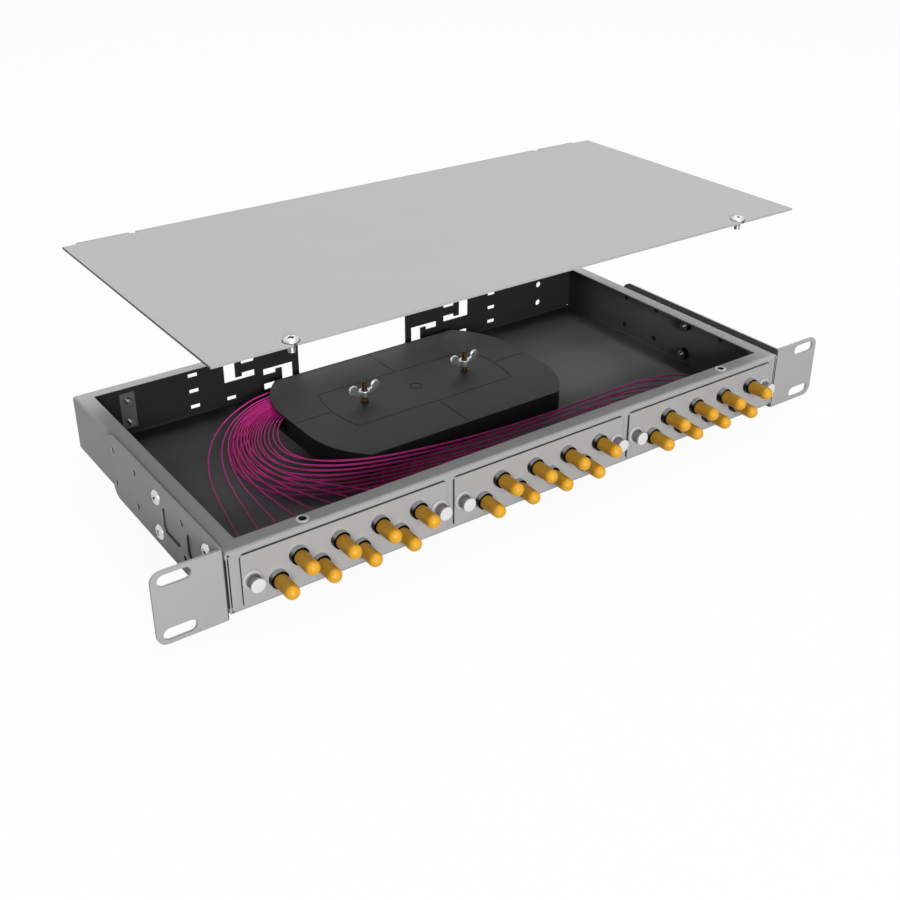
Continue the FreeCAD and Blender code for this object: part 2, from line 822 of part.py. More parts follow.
def latch_sleeve(x):
    bore = PLUNGER_PIN / 2 + LATCH_CLEARANCE
    body = SLEEVE_BODY / 2 - LATCH_CLEARANCE
    barb = SLEEVE_BARB / 2
    profile = [
        (bore, SLEEVE_FACE),
        (SLEEVE_FLANGE / 2 - SLEEVE_FLANGE_HEIGHT / 2, SLEEVE_FACE),
        (SLEEVE_FLANGE / 2, SLEEVE_FACE + SLEEVE_FLANGE_HEIGHT / 2),
        (SLEEVE_FLANGE / 2, PLATE_FACE),
        (body, PLATE_FACE),
        (body, TRAY_SHEET + LATCH_CLEARANCE),
        (barb, TRAY_SHEET + LATCH_CLEARANCE),
        (body, SLEEVE_LENGTH),
        (bore, SLEEVE_LENGTH),
    ]
    return turned_y(profile, x, PLATE_Z)


def plunger(x):
    face = SLEEVE_FACE - PLUNGER_NECK_LENGTH - PLUNGER_HEAD_LENGTH
    bevel = PLUNGER_HEAD_LENGTH / 5
    end = SLEEVE_FACE + PLUNGER_PIN_LENGTH
    profile = [
        (0, face),
        (PLUNGER_HEAD / 2 - bevel, face),
        (PLUNGER_HEAD / 2, face + bevel),
        (PLUNGER_HEAD / 2, face + PLUNGER_HEAD_LENGTH - bevel),
        (PLUNGER_NECK / 2, face + PLUNGER_HEAD_LENGTH),
        (PLUNGER_NECK / 2, SLEEVE_FACE),
        (PLUNGER_PIN / 2, SLEEVE_FACE),
        (PLUNGER_PIN / 2, end - PLUNGER_PIN / 4),
        (PLUNGER_PIN / 4, end),
        (0, end),
    ]
    return turned_y(profile, x, PLATE_Z)


def cassette_block(inset, z0, z1):
    """The cassette's outline raised between two heights: flat ends, arcs to the long edges."""
    half = CASSETTE_LENGTH / 2 - inset
    depth = CASSETTE_DEPTH / 2 - inset
    flat = CASSETTE_END_FLAT / 2
    radius = CASSETTE_END_RADIUS - inset
    centre = half - radius
    corner_x = centre + math.sqrt(radius * radius - (depth - flat) ** 2)
    middle = math.atan2(depth - flat, corner_x - centre) / 2
    mid_x = centre + radius * math.cos(middle)
    mid_y = flat + radius * math.sin(middle)

    def at(x, y):
        return V(CASSETTE_X + x, CASSETTE_Y + y, z0)

    block = outline(
        at(-corner_x, -depth),
        at(corner_x, -depth),
        (at(mid_x, -mid_y), at(half, -flat)),
        at(half, flat),
        (at(mid_x, mid_y), at(corner_x, depth)),
        at(-corner_x, depth),
        (at(-mid_x, mid_y), at(-half, flat)),
        at(-half, -flat),
        (at(-mid_x, -mid_y), at(-corner_x, -depth)),
    ).extrude(V(0, 0, z1 - z0))
    corners = [
        e
        for e in edges_along(block, V(0, 0, 1))
        if abs(abs(e.CenterOfMass.y - CASSETTE_Y) - depth) < 1e-3
    ]
    return block.makeFillet(CASSETTE_CORNER - min(inset, CASSETTE_CORNER / 2), corners)


def stud_xs():
    return (CASSETTE_X - STUD_SPREAD / 2, CASSETTE_X + STUD_SPREAD / 2)


def fibre_guides():
    """Curved walls outside each stud that keep the fibre at its smallest safe bend."""
    up = V(0, 0, 1)
    guides = []
    for x, middle in zip(stud_xs(), (180, 0)):
        foot = V(x, CASSETTE_Y, TRAY_FLOOR)
        height = CASSETTE_WALL + GUIDE_HEIGHT
        outer = Part.makeCylinder(GUIDE_RADIUS + GUIDE_WALL / 2, height, foot, up, GUIDE_ANGLE)
        inner = rod(up, foot, GUIDE_RADIUS - GUIDE_WALL / 2, height)
        guide = outer.cut(inner)
        guide.rotate(foot, up, middle - GUIDE_ANGLE / 2)
        guides.append(guide)
    return guides


def fibre_tabs():
    """Tabs at the top of the wall that keep the loops of fibre down."""
    top = LID_UNDER - LID_RIB_DEPTH - TAB_UNDER_LID
    depth = CASSETTE_DEPTH / 2
    tabs = []
    for place in (-TAB_SPREAD, 0, TAB_SPREAD):
        x0 = CASSETTE_X + place - TAB_WIDTH / 2
        for y, way in ((CASSETTE_Y - depth, 1), (CASSETTE_Y + depth, -1)):
            root = y + way * CASSETTE_WALL / 2
            tip = y + way * (CASSETTE_WALL + TAB_REACH)
            tabs.append(
                box(x0, x0 + TAB_WIDTH, min(root, tip), max(root, tip), top - TAB_THICKNESS, top)
            )
    right = CASSETTE_X + CASSETTE_LENGTH / 2
    tabs.append(
        box(
            right - CASSETTE_WALL - TAB_REACH,
            right - CASSETTE_WALL / 2,
            CASSETTE_Y - TAB_WIDTH / 2,
            CASSETTE_Y + TAB_WIDTH / 2,
            top - TAB_THICKNESS,
            top,
        )
    )
    return tabs


def cassette_base():
    """The lower shell: floor, wall, guides, tabs, stud bosses and the mouth for the fibres."""
    shell = cassette_block(0, TRAY_FLOOR, LID_UNDER)
    hollow = cassette_block(CASSETTE_WALL, TRAY_FLOOR + CASSETTE_WALL, LID_UNDER)
    shell = shell.cut(hollow)
    bosses = [
        rod(V(0, 0, 1), V(x, CASSETTE_Y, TRAY_FLOOR), STUD_BOSS / 2, LID_UNDER - TRAY_FLOOR)
        for x in stud_xs()
    ]
    shell = shell.fuse(bosses + fibre_guides() + fibre_tabs())
    cuts = []
    for x in stud_xs():
        cuts.append(
            rod(V(0, 0, 1), V(x, CASSETTE_Y, TRAY_FLOOR), STUD / 2 + STUD_CLEARANCE, CASSETTE_HEIGHT)
        )
        cuts.append(
            rod(
                V(0, 0, 1),
                V(x, CASSETTE_Y, TRAY_FLOOR),
                STUD_FOOT / 2 + STUD_CLEARANCE,
                STUD_FOOT_HEIGHT + STUD_CLEARANCE,
            )
        )
    left = CASSETTE_X - CASSETTE_LENGTH / 2
    cuts.append(
        box(
            left - CASSETTE_WALL,
            left + MOUTH_REACH,
            CASSETTE_Y + MOUTH_FROM,
            CASSETTE_Y + MOUTH_TO,
            TRAY_FLOOR + MOUTH_SILL + CASSETTE_WALL,
            LID_UNDER + CASSETTE_WALL,
        )
    )
    return shell.cut(cuts)


def lid_grooves():
    """Shallow lines in the lid: a panel with bowed ends, and a line from each side to it."""
    half = GROOVE_PANEL_LENGTH / 2
    depth = GROOVE_PANEL_DEPTH / 2
    z0 = LID_TOP - GROOVE_DEPTH

    def panel(grow):
        def at(x, y):
            return V(CASSETTE_X + x, CASSETTE_Y + y, z0)

        x = half + grow
        y = depth + grow
        bowed = x + GROOVE_PANEL_BULGE
        face = outline(
            at(-x, -y),
            at(x, -y),
            (at(bowed, 0), at(x, y)),
            at(-x, y),
            (at(-bowed, 0), at(-x, -y)),
        )
        return face.extrude(V(0, 0, 2 * GROOVE_DEPTH))

    cuts = [panel(GROOVE_WIDTH / 2).cut(panel(-GROOVE_WIDTH / 2))]
    ends = CASSETTE_LENGTH / 2 - CASSETTE_WALL
    sides = CASSETTE_DEPTH / 2 - CASSETTE_WALL
    w = GROOVE_WIDTH / 2
    bowed = half + GROOVE_PANEL_BULGE
    x, y = CASSETTE_X, CASSETTE_Y
    top = z0 + 2 * GROOVE_DEPTH
    cuts.append(box(x - ends, x - bowed, y - w, y + w, z0, top))
    cuts.append(box(x + bowed, x + ends, y - w, y + w, z0, top))
    cuts.append(box(x - w, x + w, y - sides, y - depth, z0, top))
    cuts.append(box(x - w, x + w, y + depth, y + sides, z0, top))
    outer = rod(V(0, 0, 1), V(x, y, z0), CENTRE_BOSS / 2 + w, 2 * GROOVE_DEPTH)
    cuts.append(outer.cut(rod(V(0, 0, 1), V(x, y, z0), CENTRE_BOSS / 2 - w, 2 * GROOVE_DEPTH)))
    return cuts


def cassette_lid():
    """The lid: a flat top, a locating rib inside the wall and a raised ring round each stud."""
    lid = cassette_block(0, LID_UNDER, LID_TOP)
    gap = CASSETTE_WALL + LID_FIT
    rib = cassette_block(gap, LID_UNDER - LID_RIB_DEPTH, LID_UNDER)
    rib = rib.cut(cassette_block(gap + LID_RIB, LID_UNDER - LID_RIB_DEPTH, LID_UNDER))
    rings = [
        rod(V(0, 0, 1), V(x, CASSETTE_Y, LID_TOP), LID_RING / 2, LID_RING_HEIGHT) for x in stud_xs()
    ]
    body = lid.fuse([rib] + rings)
    holes = [
        rod(
            V(0, 0, 1),
            V(x, CASSETTE_Y, LID_UNDER - LID_SHEET),
            STUD / 2 + STUD_CLEARANCE,
            3 * LID_SHEET + LID_RING_HEIGHT,
        )
        for x in stud_xs()
    ]
    return body.cut(lid_grooves() + holes)


def cassette_studs():
    solids = []
    top = TRAY_FLOOR + STUD_LENGTH
    profile = [
        (0, TRAY_FLOOR),
        (STUD_FOOT / 2, TRAY_FLOOR),
        (STUD_FOOT / 2, TRAY_FLOOR + STUD_FOOT_HEIGHT),
        (STUD / 2, TRAY_FLOOR + STUD_FOOT_HEIGHT),
        (STUD / 2, top - STUD / 8),
        (STUD * 3 / 8, top),
        (0, top),
    ]
    for x in stud_xs():
        solids.append(turned_z(profile, x, CASSETTE_Y))
    return solids


def wing_nut(x):
    """A hub with two upswept wings whose tips are round."""
    seat = LID_TOP + WING_NUT_LIFT
    hub_profile = [
        (0, seat),
        (WING_HUB / 2, seat),
        (WING_HUB / 2, seat + WING_HUB_HEIGHT / 3),
        (WING_HUB_TOP / 2, seat + WING_HUB_HEIGHT),
        (0, seat + WING_HUB_HEIGHT),
    ]
    body = turned_z(hub_profile, x, CASSETTE_Y)
    tip_x = WING_SPAN / 2 - WING_TIP_RADIUS
    tip_z = seat + WING_RISE
    y0 = CASSETTE_Y - WING_THICKNESS / 2
    for way in (-1, 1):
        tip = rod(V(0, 1, 0), V(x + way * tip_x, y0, tip_z), WING_TIP_RADIUS, WING_THICKNESS)
        arm = polygon_face(
            [
                V(x + way * WING_HUB / 4, y0, seat + WING_HUB_HEIGHT * 0.12),
                V(x + way * (tip_x + WING_TIP_RADIUS * 0.4), y0, tip_z - WING_TIP_RADIUS * 0.9),
                V(x + way * (tip_x - WING_TIP_RADIUS * 0.5), y0, tip_z + WING_TIP_RADIUS * 0.8),
                V(x + way * WING_HUB / 4, y0, seat + WING_HUB_HEIGHT * 0.85),
            ]
        ).extrude(V(0, WING_THICKNESS, 0))
        body = body.fuse([tip, arm])
    bore = rod(
        V(0, 0, 1), V(x, CASSETTE_Y, seat - 1), STUD / 2 + WING_CLEARANCE, WING_HUB_HEIGHT + WING_RISE
    )
    return body.cut(bore).removeSplitter()


def holder_half_width():
    return SLEEVES_PER_HOLDER * SPLICE_PITCH / 2 + FIN_THICKNESS / 2


def holder_ys():
    """The middles of the holders, with equal room beside and between them."""
    inner = CASSETTE_DEPTH - 2 * CASSETTE_WALL
    room = (inner - 2 * HOLDER_COUNT * holder_half_width()) / (HOLDER_COUNT + 1)
    spread = 2 * holder_half_width() + room
    first = -spread * (HOLDER_COUNT - 1) / 2
    return [CASSETTE_Y + first + spread * i for i in range(HOLDER_COUNT)]


def splice_holders():
    """Two combs on the cassette's floor whose fins stand between the splice sleeves."""
    solids = []
    floor = TRAY_FLOOR + CASSETTE_WALL
    half_x = HOLDER_LENGTH / 2
    half_y = holder_half_width()
    for y in holder_ys():
        base = box(
            CASSETTE_X - half_x, CASSETTE_X + half_x, y - half_y, y + half_y, floor, floor + HOLDER_SHEET
        )
        fins = []
        for index in range(SLEEVES_PER_HOLDER + 1):
            middle = y + (index - SLEEVES_PER_HOLDER / 2) * SPLICE_PITCH
            for x0 in (CASSETTE_X - half_x, CASSETTE_X + half_x - FIN_LENGTH):
                fins.append(
                    box(
                        x0,
                        x0 + FIN_LENGTH,
                        middle - FIN_THICKNESS / 2,
                        middle + FIN_THICKNESS / 2,
                        floor + HOLDER_SHEET,
                        floor + HOLDER_SHEET + FIN_HEIGHT,
                    )
                )
        solids.append(base.fuse(fins).removeSplitter())
    return solids


def splice_sleeves():
    solids = []
    z = TRAY_FLOOR + CASSETTE_WALL + HOLDER_SHEET + SPLICE_SLEEVE / 2 + HOLDER_FIT
    for y in holder_ys():
        for index in range(SLEEVES_PER_HOLDER):
            middle = y + (index + 0.5 - SLEEVES_PER_HOLDER / 2) * SPLICE_PITCH
            start = V(CASSETTE_X - SPLICE_SLEEVE_LENGTH / 2, middle, z)
            solids.append(rod(V(1, 0, 0), start, SPLICE_SLEEVE / 2, SPLICE_SLEEVE_LENGTH))
    return solids


# Routes of the fibres, chosen by hand as (x, y, z). The first and last fibre of each group are
# given, and the fibres between them lie in proportion. All start inside the cassette's mouth.
LEFT_FIRST = [
    (-64, 196, -10),
    (-81, 197.5, -11),
    (-99, 190.5, -11.5),
    (-118, 178, -11.5),
    (-135, 160, -11.5),
    (-148, 139, -11.5),
    (-158, 114, -11.5),
    (-164.5, 88, -11.5),
    (-168.5, 65, -11),
    (-172, 48, -10),
]
LEFT_LAST = [
    (-74, 176, -9.6),
    (-88, 175.5, -9.5),
    (-103, 167, -9),
    (-114.5, 153, -8.6),
    (-121.5, 136.5, -8.5),
    (-124, 118, -8.5),
    (-121.5, 98, -8.5),
    (-113, 79, -8.5),
    (-101.5, 62, -8),
    (-92, 48, -7),
]
LEFT_SHARES = (0, 0.29, 0.44, 0.57, 0.68, 0.79, 0.9, 1)
LONG_FIRST = [
    (-70, 190, -13.5),
    (-89, 188, -14.5),
    (-108, 176, -15),
    (-123, 159, -15),
    (-133, 140, -15),
    (-137.5, 119, -15),
    (-136, 98, -15),
    (-126, 80, -15),
    (-108, 68, -15),
    (-88, 60, -14.5),
]
LONG_LAST = [
    (-76, 163, -9.6),
    (-85.5, 158, -9.5),
    (-94, 148.5, -9),
    (-101, 137, -8.5),
    (-105, 124, -8),
    (-105.5, 110.5, -7.5),
    (-101, 98.5, -7.2),
    (-91, 88, -7),
    (-74, 78.5, -7),
    (-52, 71.5, -7),
]
CENTRE_FIRST = [
    (-73, 55, -13.5),
    (-60, 51.5, -12),
    (-51.5, 48, -10),
    (-46, 43.5, -8),
]
CENTRE_LAST = [
    (-40, 58, -11.5),
    (-8, 51.5, -11),
    (20, 47.5, -10),
    (37, 43.5, -8),
]
RIGHT_FIRST = [
    (-36, 59.5, -10.8),
    (-2, 53.5, -10.8),
    (30, 50, -10.5),
    (56, 48, -10),
    (74, 46, -9),
    (84, 42, -7.5),
]
RIGHT_LAST = [
    (-10, 65.5, -7.3),
    (42, 60.5, -7.5),
    (94, 57, -7.5),
    (135, 54.5, -7.5),
    (161, 49, -7.5),
    (171, 44, -7),
]

# How far the left fibres have changed from their own shares to equal spacing, point by point
LEFT_EQUAL = (0, 0, 0, 0, 0, 0.1, 0.3, 0.55, 0.8, 1)

# Each fibre rises to its port through this point, between the last guide and the boot
PORT_RUN = 3.8
DIP_RUN = 11.5
DIP_Z = -8.0
DIP_SHARE = 0.35

# The tray width and the cassette's centre for which the routes above were chosen
ROUTE_TRAY_WIDTH = 404.0
ROUTE_CASSETTE = (5.3, 138.7)


def between(first, last, shares):
    """Points between two rows of points, with a share for each."""
    return [
        tuple(a + (b - a) * share for a, b in zip(p, q)) for p, q, share in zip(first, last, shares)
    ]


def fitted(point):
    """A route point for the sizes in use: it moves with the cassette beside it, and with the ports
    in front of it."""
    x, y, z = point
    front = ROUTE_CASSETTE[1] - CASSETTE_DEPTH / 2
    share = max(0.0, min(1.0, (y - BOOT_END) / (front - BOOT_END)))
    with_cassette = share * (CASSETTE_X - ROUTE_CASSETTE[0])
    with_ports = (1 - share) * x * (TRAY_WIDTH / ROUTE_TRAY_WIDTH - 1)
    return x + with_cassette + with_ports, y + share * (CASSETTE_Y - ROUTE_CASSETTE[1]), z


def fibre_routes():
    """The route of each fibre, plate by plate and port by port, from the cassette to its plug."""
    groups = []
    count = PORTS_PER_PLATE
    for plate, plate_x in enumerate(plate_xs()):
        group = []
        for index, (x, z) in enumerate(ports(plate_x)):
            share = index / (count - 1)
            if plate == 0:
                own = LEFT_SHARES[index]
                route = between(LEFT_FIRST, LEFT_LAST, [own + (share - own) * e for e in LEFT_EQUAL])
            else:
                order = (index + (plate - 1) * count) / (2 * count - 1)
                route = between(LONG_FIRST, LONG_LAST, [order] * len(LONG_FIRST))
                first, last = (
                    (CENTRE_FIRST, CENTRE_LAST) if plate == 1 else (RIGHT_FIRST, RIGHT_LAST)
                )
                route += between(first, last, [share] * len(first))
            route = [fitted(point) for point in route]
            dip_x = x + (route[-1][0] - x) * DIP_SHARE
            route.append((dip_x, BOOT_END + DIP_RUN, DIP_Z + (z - DIP_Z) * DIP_SHARE))
            route += [(x, BOOT_END + PORT_RUN, z), (x, BOOT_END, z)]
            group.append(route)
        groups.append(group)
    return groups


def tube(route, diameter):
    """A tube along straight runs joined by tangent arcs, each as large as its runs allow."""
    points = [V(*p) for p in route]
    edges = []
    radii = []
    last = points[0]
    for before, corner, after in zip(points, points[1:], points[2:]):
        arriving = (corner - before).normalize()
        leaving = (after - corner).normalize()
        turn = math.acos(max(-1.0, min(1.0, arriving.dot(leaving))))
        setback = 0.45 * min((corner - before).Length, (after - corner).Length)
        radius = setback / math.tan(turn / 2)
        start = corner - arriving * setback
        end = corner + leaving * setback
        inward = (leaving - arriving).normalize()
        sagitta = radius / math.cos(turn / 2) - radius
        edges.append(Part.LineSegment(last, start).toShape())
        edges.append(Part.Arc(start, corner + inward * sagitta, end).toShape())
        radii.append(radius)
        last = end
    edges.append(Part.LineSegment(last, points[-1]).toShape())
    path = Part.Wire(edges)
    direction = points[1] - points[0]
    ring = Part.Wire(Part.makeCircle(diameter / 2, points[0], direction))
    solid = path.makePipeShell([ring], True, False)
    expected = math.pi * (diameter / 2) ** 2 * path.Length
    return solid, min(radii), solid.Volume / expected


def pigtails(routes):
    solids = []
    for route in routes:
        solid, radius, ratio = tube(route, FIBRE)
        print(f"fibre: smallest radius {radius:.1f}, volume over section times length {ratio:.4f}")
        solids.append(solid)
    return solids


def export(name, shape):
    parts = shape if isinstance(shape, list) else [shape]
    if len(parts) == 1:
        parts[0].exportStep(f"parts/{name}.step")
    else:
        Part.makeCompound(parts).exportStep(f"parts/{name}.step")


def main():
    os.makedirs("parts", exist_ok=True)
    right_bracket = bracket()
    export("chassis_tray", chassis_tray())
    export("bracket_right", right_bracket)
    export("bracket_left", mirrored(right_bracket))
    export("bracket_screws", bracket_screws())
    export("bracket_nuts", bracket_nuts())
    export("rear_nut_plate", rear_nut_plate())
    export("rear_screws", rear_screws())
    export("rivet_nuts", rivet_nuts())
    export("cover", cover())
    export("cover_screw_left", cover_screw(-COVER_SCREW_X))
    export("cover_screw_right", cover_screw(COVER_SCREW_X))

    sides = ("left", "centre", "right")
    number = 0
    nuts = []
    plugs = []
    for side, x in zip(sides, plate_xs()):
        export(f"coupler_plate_{side}", coupler_plate(x))
        export(f"couplers_{side}", [coupler(*port) for port in ports(x)])
        for port in ports(x):
            number += 1
            nuts.append(coupler_nut(*port))
            plugs.append(plug(*port))
            export(f"dust_cap_{number:02d}", dust_cap(*port))
    export("coupler_nuts", nuts)
    export("pigtail_plugs", plugs)

    export("latch_sleeves", [latch_sleeve(x) for x in latch_xs()])
    for index, x in enumerate(latch_xs(), start=1):
        export(f"plunger_{index}", plunger(x))

    export("cassette_base", cassette_base())
    export("cassette_lid", cassette_lid())
    export("cassette_studs", cassette_studs())
    export("splice_holders", splice_holders())
    export("splice_sleeves", splice_sleeves())
    for side, x in zip(("left", "right"), stud_xs()):
        export(f"wing_nut_{side}", wing_nut(x))
    for side, routes in zip(sides, fibre_routes()):
        export(f"pigtails_{side}", pigtails(routes))


main()
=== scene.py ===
import math

import bpy
import numpy as np
from mathutils import Euler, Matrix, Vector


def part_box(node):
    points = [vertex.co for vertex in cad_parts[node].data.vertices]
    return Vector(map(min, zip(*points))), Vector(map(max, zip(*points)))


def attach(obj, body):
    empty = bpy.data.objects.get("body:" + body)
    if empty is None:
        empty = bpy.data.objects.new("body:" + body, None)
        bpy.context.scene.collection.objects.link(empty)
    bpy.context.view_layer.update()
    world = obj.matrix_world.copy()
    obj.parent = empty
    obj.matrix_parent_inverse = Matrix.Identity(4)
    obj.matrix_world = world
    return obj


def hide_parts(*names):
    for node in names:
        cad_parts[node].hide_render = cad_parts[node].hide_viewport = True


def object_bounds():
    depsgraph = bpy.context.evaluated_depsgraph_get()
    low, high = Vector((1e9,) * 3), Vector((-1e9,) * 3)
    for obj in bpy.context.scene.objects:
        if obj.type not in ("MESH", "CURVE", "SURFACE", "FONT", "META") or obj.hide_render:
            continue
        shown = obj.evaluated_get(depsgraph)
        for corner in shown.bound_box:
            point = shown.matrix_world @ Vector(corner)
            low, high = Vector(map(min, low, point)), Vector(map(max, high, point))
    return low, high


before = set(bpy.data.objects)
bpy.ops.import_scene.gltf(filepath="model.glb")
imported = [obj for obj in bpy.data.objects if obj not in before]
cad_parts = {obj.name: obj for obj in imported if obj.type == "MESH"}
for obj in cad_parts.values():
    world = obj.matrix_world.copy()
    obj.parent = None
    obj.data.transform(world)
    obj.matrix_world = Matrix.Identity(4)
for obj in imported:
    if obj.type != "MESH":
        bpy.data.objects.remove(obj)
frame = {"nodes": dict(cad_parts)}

bl_info = {
    "name": "Fibre patch panel dressing",
    "version": (1, 0, 0),
    "blender": (4, 5, 0),
    "location": "3D View > Sidebar > Patch Panel",
    "description": "Detailed pieces and finishes for a rack tray that ends 24 fibres",
    "category": "Object",
}

CAD_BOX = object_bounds()

# Places read from the frame, in metres
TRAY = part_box("chassis_tray")
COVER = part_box("cover")
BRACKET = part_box("bracket_right")
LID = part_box("cassette_lid")
CAP_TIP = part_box("dust_cap_01")[0].y
TRAY_SHEET = 0.0012
BEND_RADIUS = 0.0023
PLATE_X = (-0.1314, 0.0, 0.1314)
PLATE_HALF = 0.0632
PLATE_Z = -0.00085
PORT_FIRST = -0.0434
PORT_PITCH = 0.0124
PORT_ROWS = (-0.00575, 0.0041)
PORTS_PER_PLATE = 8
LATCH_OFFSET = 0.0577
BRACKET_SCREW_YS = (0.0174, 0.0809)
BRACKET_SCREW_ZS = (-0.0112, 0.0112)
SPARE_HOLE_YS = (0.04915, 0.11265, 0.1444)
BRACKET_FACE = 0.2035
REAR_SCREW_X = -0.169
REAR_SCREW_ZS = (0.0069, -0.0081)
COVER_SCREW_X = 0.1545
COVER_SCREW_Y = 0.0062
STUD_XS = (-0.035, 0.0456)
STUD_Y = 0.1387

X_AXIS = (1.0, 0.0, 0.0)
Y_AXIS = (0.0, 1.0, 0.0)
Z_AXIS = (0.0, 0.0, 1.0)

# Head radius, head height, shank radius and length of each kind of screw
BRACKET_SCREW = (0.0046, 0.0021, 0.0025, 0.009)
REAR_SCREW = (0.0038, 0.0022, 0.002, 0.008)
COVER_SCREW = (0.004, 0.0021, 0.002, 0.006)

# Width over flats, height and bore radius of each kind of nut
BRACKET_NUT = (0.008, 0.0038, 0.00255)
COUPLER_NUT = (0.01, 0.0025, 0.00405)

# The plugs: a knurled sleeve and a ribbed boot
PLUG_START = 0.008
PLUG_LENGTH = 0.012
PLUG_RADIUS = 0.0044
KNURLS = 24
KNURL_DEPTH = 0.0002
BOOT_START = 0.0199
BOOT_RADIUS = 0.0026
BOOT_TIP_RADIUS = 0.001
BOOT_RIBS = 5
RIB_DEPTH = 0.00018

# The studs, and the wing nuts on the lid
STUD_RADIUS = 0.0019
STUD_THREAD_START = 0.0035
STUD_LENGTH = 0.0283
STUD_TIP_RADIUS = 0.0014
LID_RING_HEIGHT = 0.0007
WING_NUT_LIFT = 0.0044
WING_TIP_RADIUS = 0.0034
WING_ARM = 0.0021
WING_HALF_THICKNESS = 0.0009

# The floor under the object
FLOOR_GAP = 0.0001
FLOOR_HALF = 6.0

# Routes of the fibres in millimetres. The first and the last fibre of each group are given, and the
# fibres between them lie in proportion.
LEFT_FIRST = [
    (-64, 196, -10), (-81, 197.5, -11), (-99, 190.5, -11.5), (-118, 178, -11.5), (-135, 160, -11.5),
    (-148, 139, -11.5), (-158, 114, -11.5), (-164.5, 88, -11.5), (-168.5, 65, -11), (-172, 48, -10),
]
LEFT_LAST = [
    (-74, 176, -9.6), (-88, 175.5, -9.5), (-103, 167, -9), (-114.5, 153, -8.6), (-121.5, 136.5, -8.5),
    (-124, 118, -8.5), (-121.5, 98, -8.5), (-113, 79, -8.5), (-101.5, 62, -8), (-92, 48, -7),
]
LEFT_SHARES = (0, 0.29, 0.44, 0.57, 0.68, 0.79, 0.9, 1)
LONG_FIRST = [
    (-70, 190, -13.5), (-89, 188, -14.5), (-108, 176, -15), (-123, 159, -15), (-133, 140, -15),
    (-137.5, 119, -15), (-136, 98, -15), (-126, 80, -15), (-108, 68, -15), (-88, 60, -14.5),
]
LONG_LAST = [
    (-76, 163, -9.6), (-85.5, 158, -9.5), (-94, 148.5, -9), (-101, 137, -8.5), (-105, 124, -8),
    (-105.5, 110.5, -7.5), (-101, 98.5, -7.2), (-91, 88, -7), (-74, 78.5, -7), (-52, 71.5, -7),
]
CENTRE_FIRST = [(-73, 55, -13.5), (-60, 51.5, -12), (-51.5, 48, -10), (-46, 43.5, -8)]
CENTRE_LAST = [(-40, 58, -11.5), (-8, 51.5, -11), (20, 47.5, -10), (37, 43.5, -8)]
RIGHT_FIRST = [
    (-36, 59.5, -10.8), (-2, 53.5, -10.8), (30, 50, -10.5), (56, 48, -10), (74, 46, -9), (84, 42, -7.5),
]
RIGHT_LAST = [
    (-10, 64.5, -7.6), (42, 59.5, -7.2), (94, 57, -4.6), (135, 54.5, -2.4), (161, 49.5, -4.2),
    (171, 44, -7),
]

# How far the left fibres have changed from their own shares to equal spacing, point by point
LEFT_EQUAL = (0, 0, 0, 0, 0, 0.1, 0.3, 0.55, 0.8, 1)

# The centre and right fibres turn side by side, the inner ones further apart, run on in pairs with one
# just below the other, and part before their ports. For each point: how much of the pair's common
# place it has, and how much of the step between the two.
LONG_SHARES = (0, 0.05, 0.1, 0.15, 0.21, 0.27, 0.33, 0.39, 0.45, 0.51, 0.57, 0.63, 0.71, 0.8, 0.9, 1)
PAIR_STEP = (0.0, 0.52, -0.82)
LONG_PAIRED = ((0, 0, 0, 0, 0.1, 0.3, 0.65, 1, 1, 1), (0, 0, 0, 0, 0.4, 0.8, 1.1, 1.1, 1, 1))
CENTRE_PAIRED = ((1, 0.7, 0.3, 0), (1, 0.7, 0.3, 0))
RIGHT_PAIRED = ((1, 1, 0.8, 0.4, 0, 0), (1, 1, 1, 0.8, 0.4, 0))

# Each fibre rises to its port through this point, between the last guide and the boot
BOOT_END = 27.0
PORT_RUN = 3.8
DIP_RUN = 11.5
DIP_Z = -8.0
DIP_SHARE = 0.35


def quantity(name, description, default, **choices):
    return bpy.props.FloatProperty(name=name, description=description, default=default, **choices)


def paint(name, description, default):
    return bpy.props.FloatVectorProperty(
        name=name, description=description, default=default, subtype="COLOR"
    )


class PanelSizes(bpy.types.PropertyGroup):
    """Sizes of the small pieces that the operators make."""

    fibre: quantity("Fibre diameter", "Outer diameter of a pigtail's jacket", 0.0009, unit="LENGTH")
    fine_pitch: quantity("Thread pitch", "Pitch of the screws and studs", 0.0007, unit="LENGTH")
    coupler_pitch: quantity("Coupler pitch", "Pitch of a coupler's thread", 0.00075, unit="LENGTH")
    recess_depth: quantity("Recess depth", "Depth of the cross in a screw's head", 0.0013, unit="LENGTH")
    columns: bpy.props.IntProperty(
        name="Columns", description="Faces round a turned piece", default=40, min=12, max=128
    )


class PanelColours(bpy.types.PropertyGroup):
    """Colours of the finishes, as linear values."""

    cover: paint("Cover paint", "Powder coat of the cover", (0.55, 0.55, 0.555))
    frame: paint("Tray paint", "Powder coat of tray, brackets and plates", (0.525, 0.525, 0.527))
    # The inside colour is painted shade: it darkens the tray's inside to stand for the shade under the
    # cover.
    inside: paint("Inside finish", "Darker finish inside the tray", (0.24, 0.24, 0.241))
    cap: paint("Dust caps", "Soft amber plastic", (0.66, 0.325, 0.013))
    fibre: paint("Fibre jackets", "Magenta jacket", (1.0, 0.045, 0.42))
    cassette: paint("Cassette", "Dark plastic of the splice cassette", (0.05, 0.05, 0.051))
    nickel: paint("Nickel", "Plating of the couplers", (0.46, 0.465, 0.48))
    zinc: paint("Zinc", "Plating of screws and nuts", (0.66, 0.66, 0.67))
    brass: paint("Brass", "Aged brass of the studs", (0.15, 0.085, 0.026))


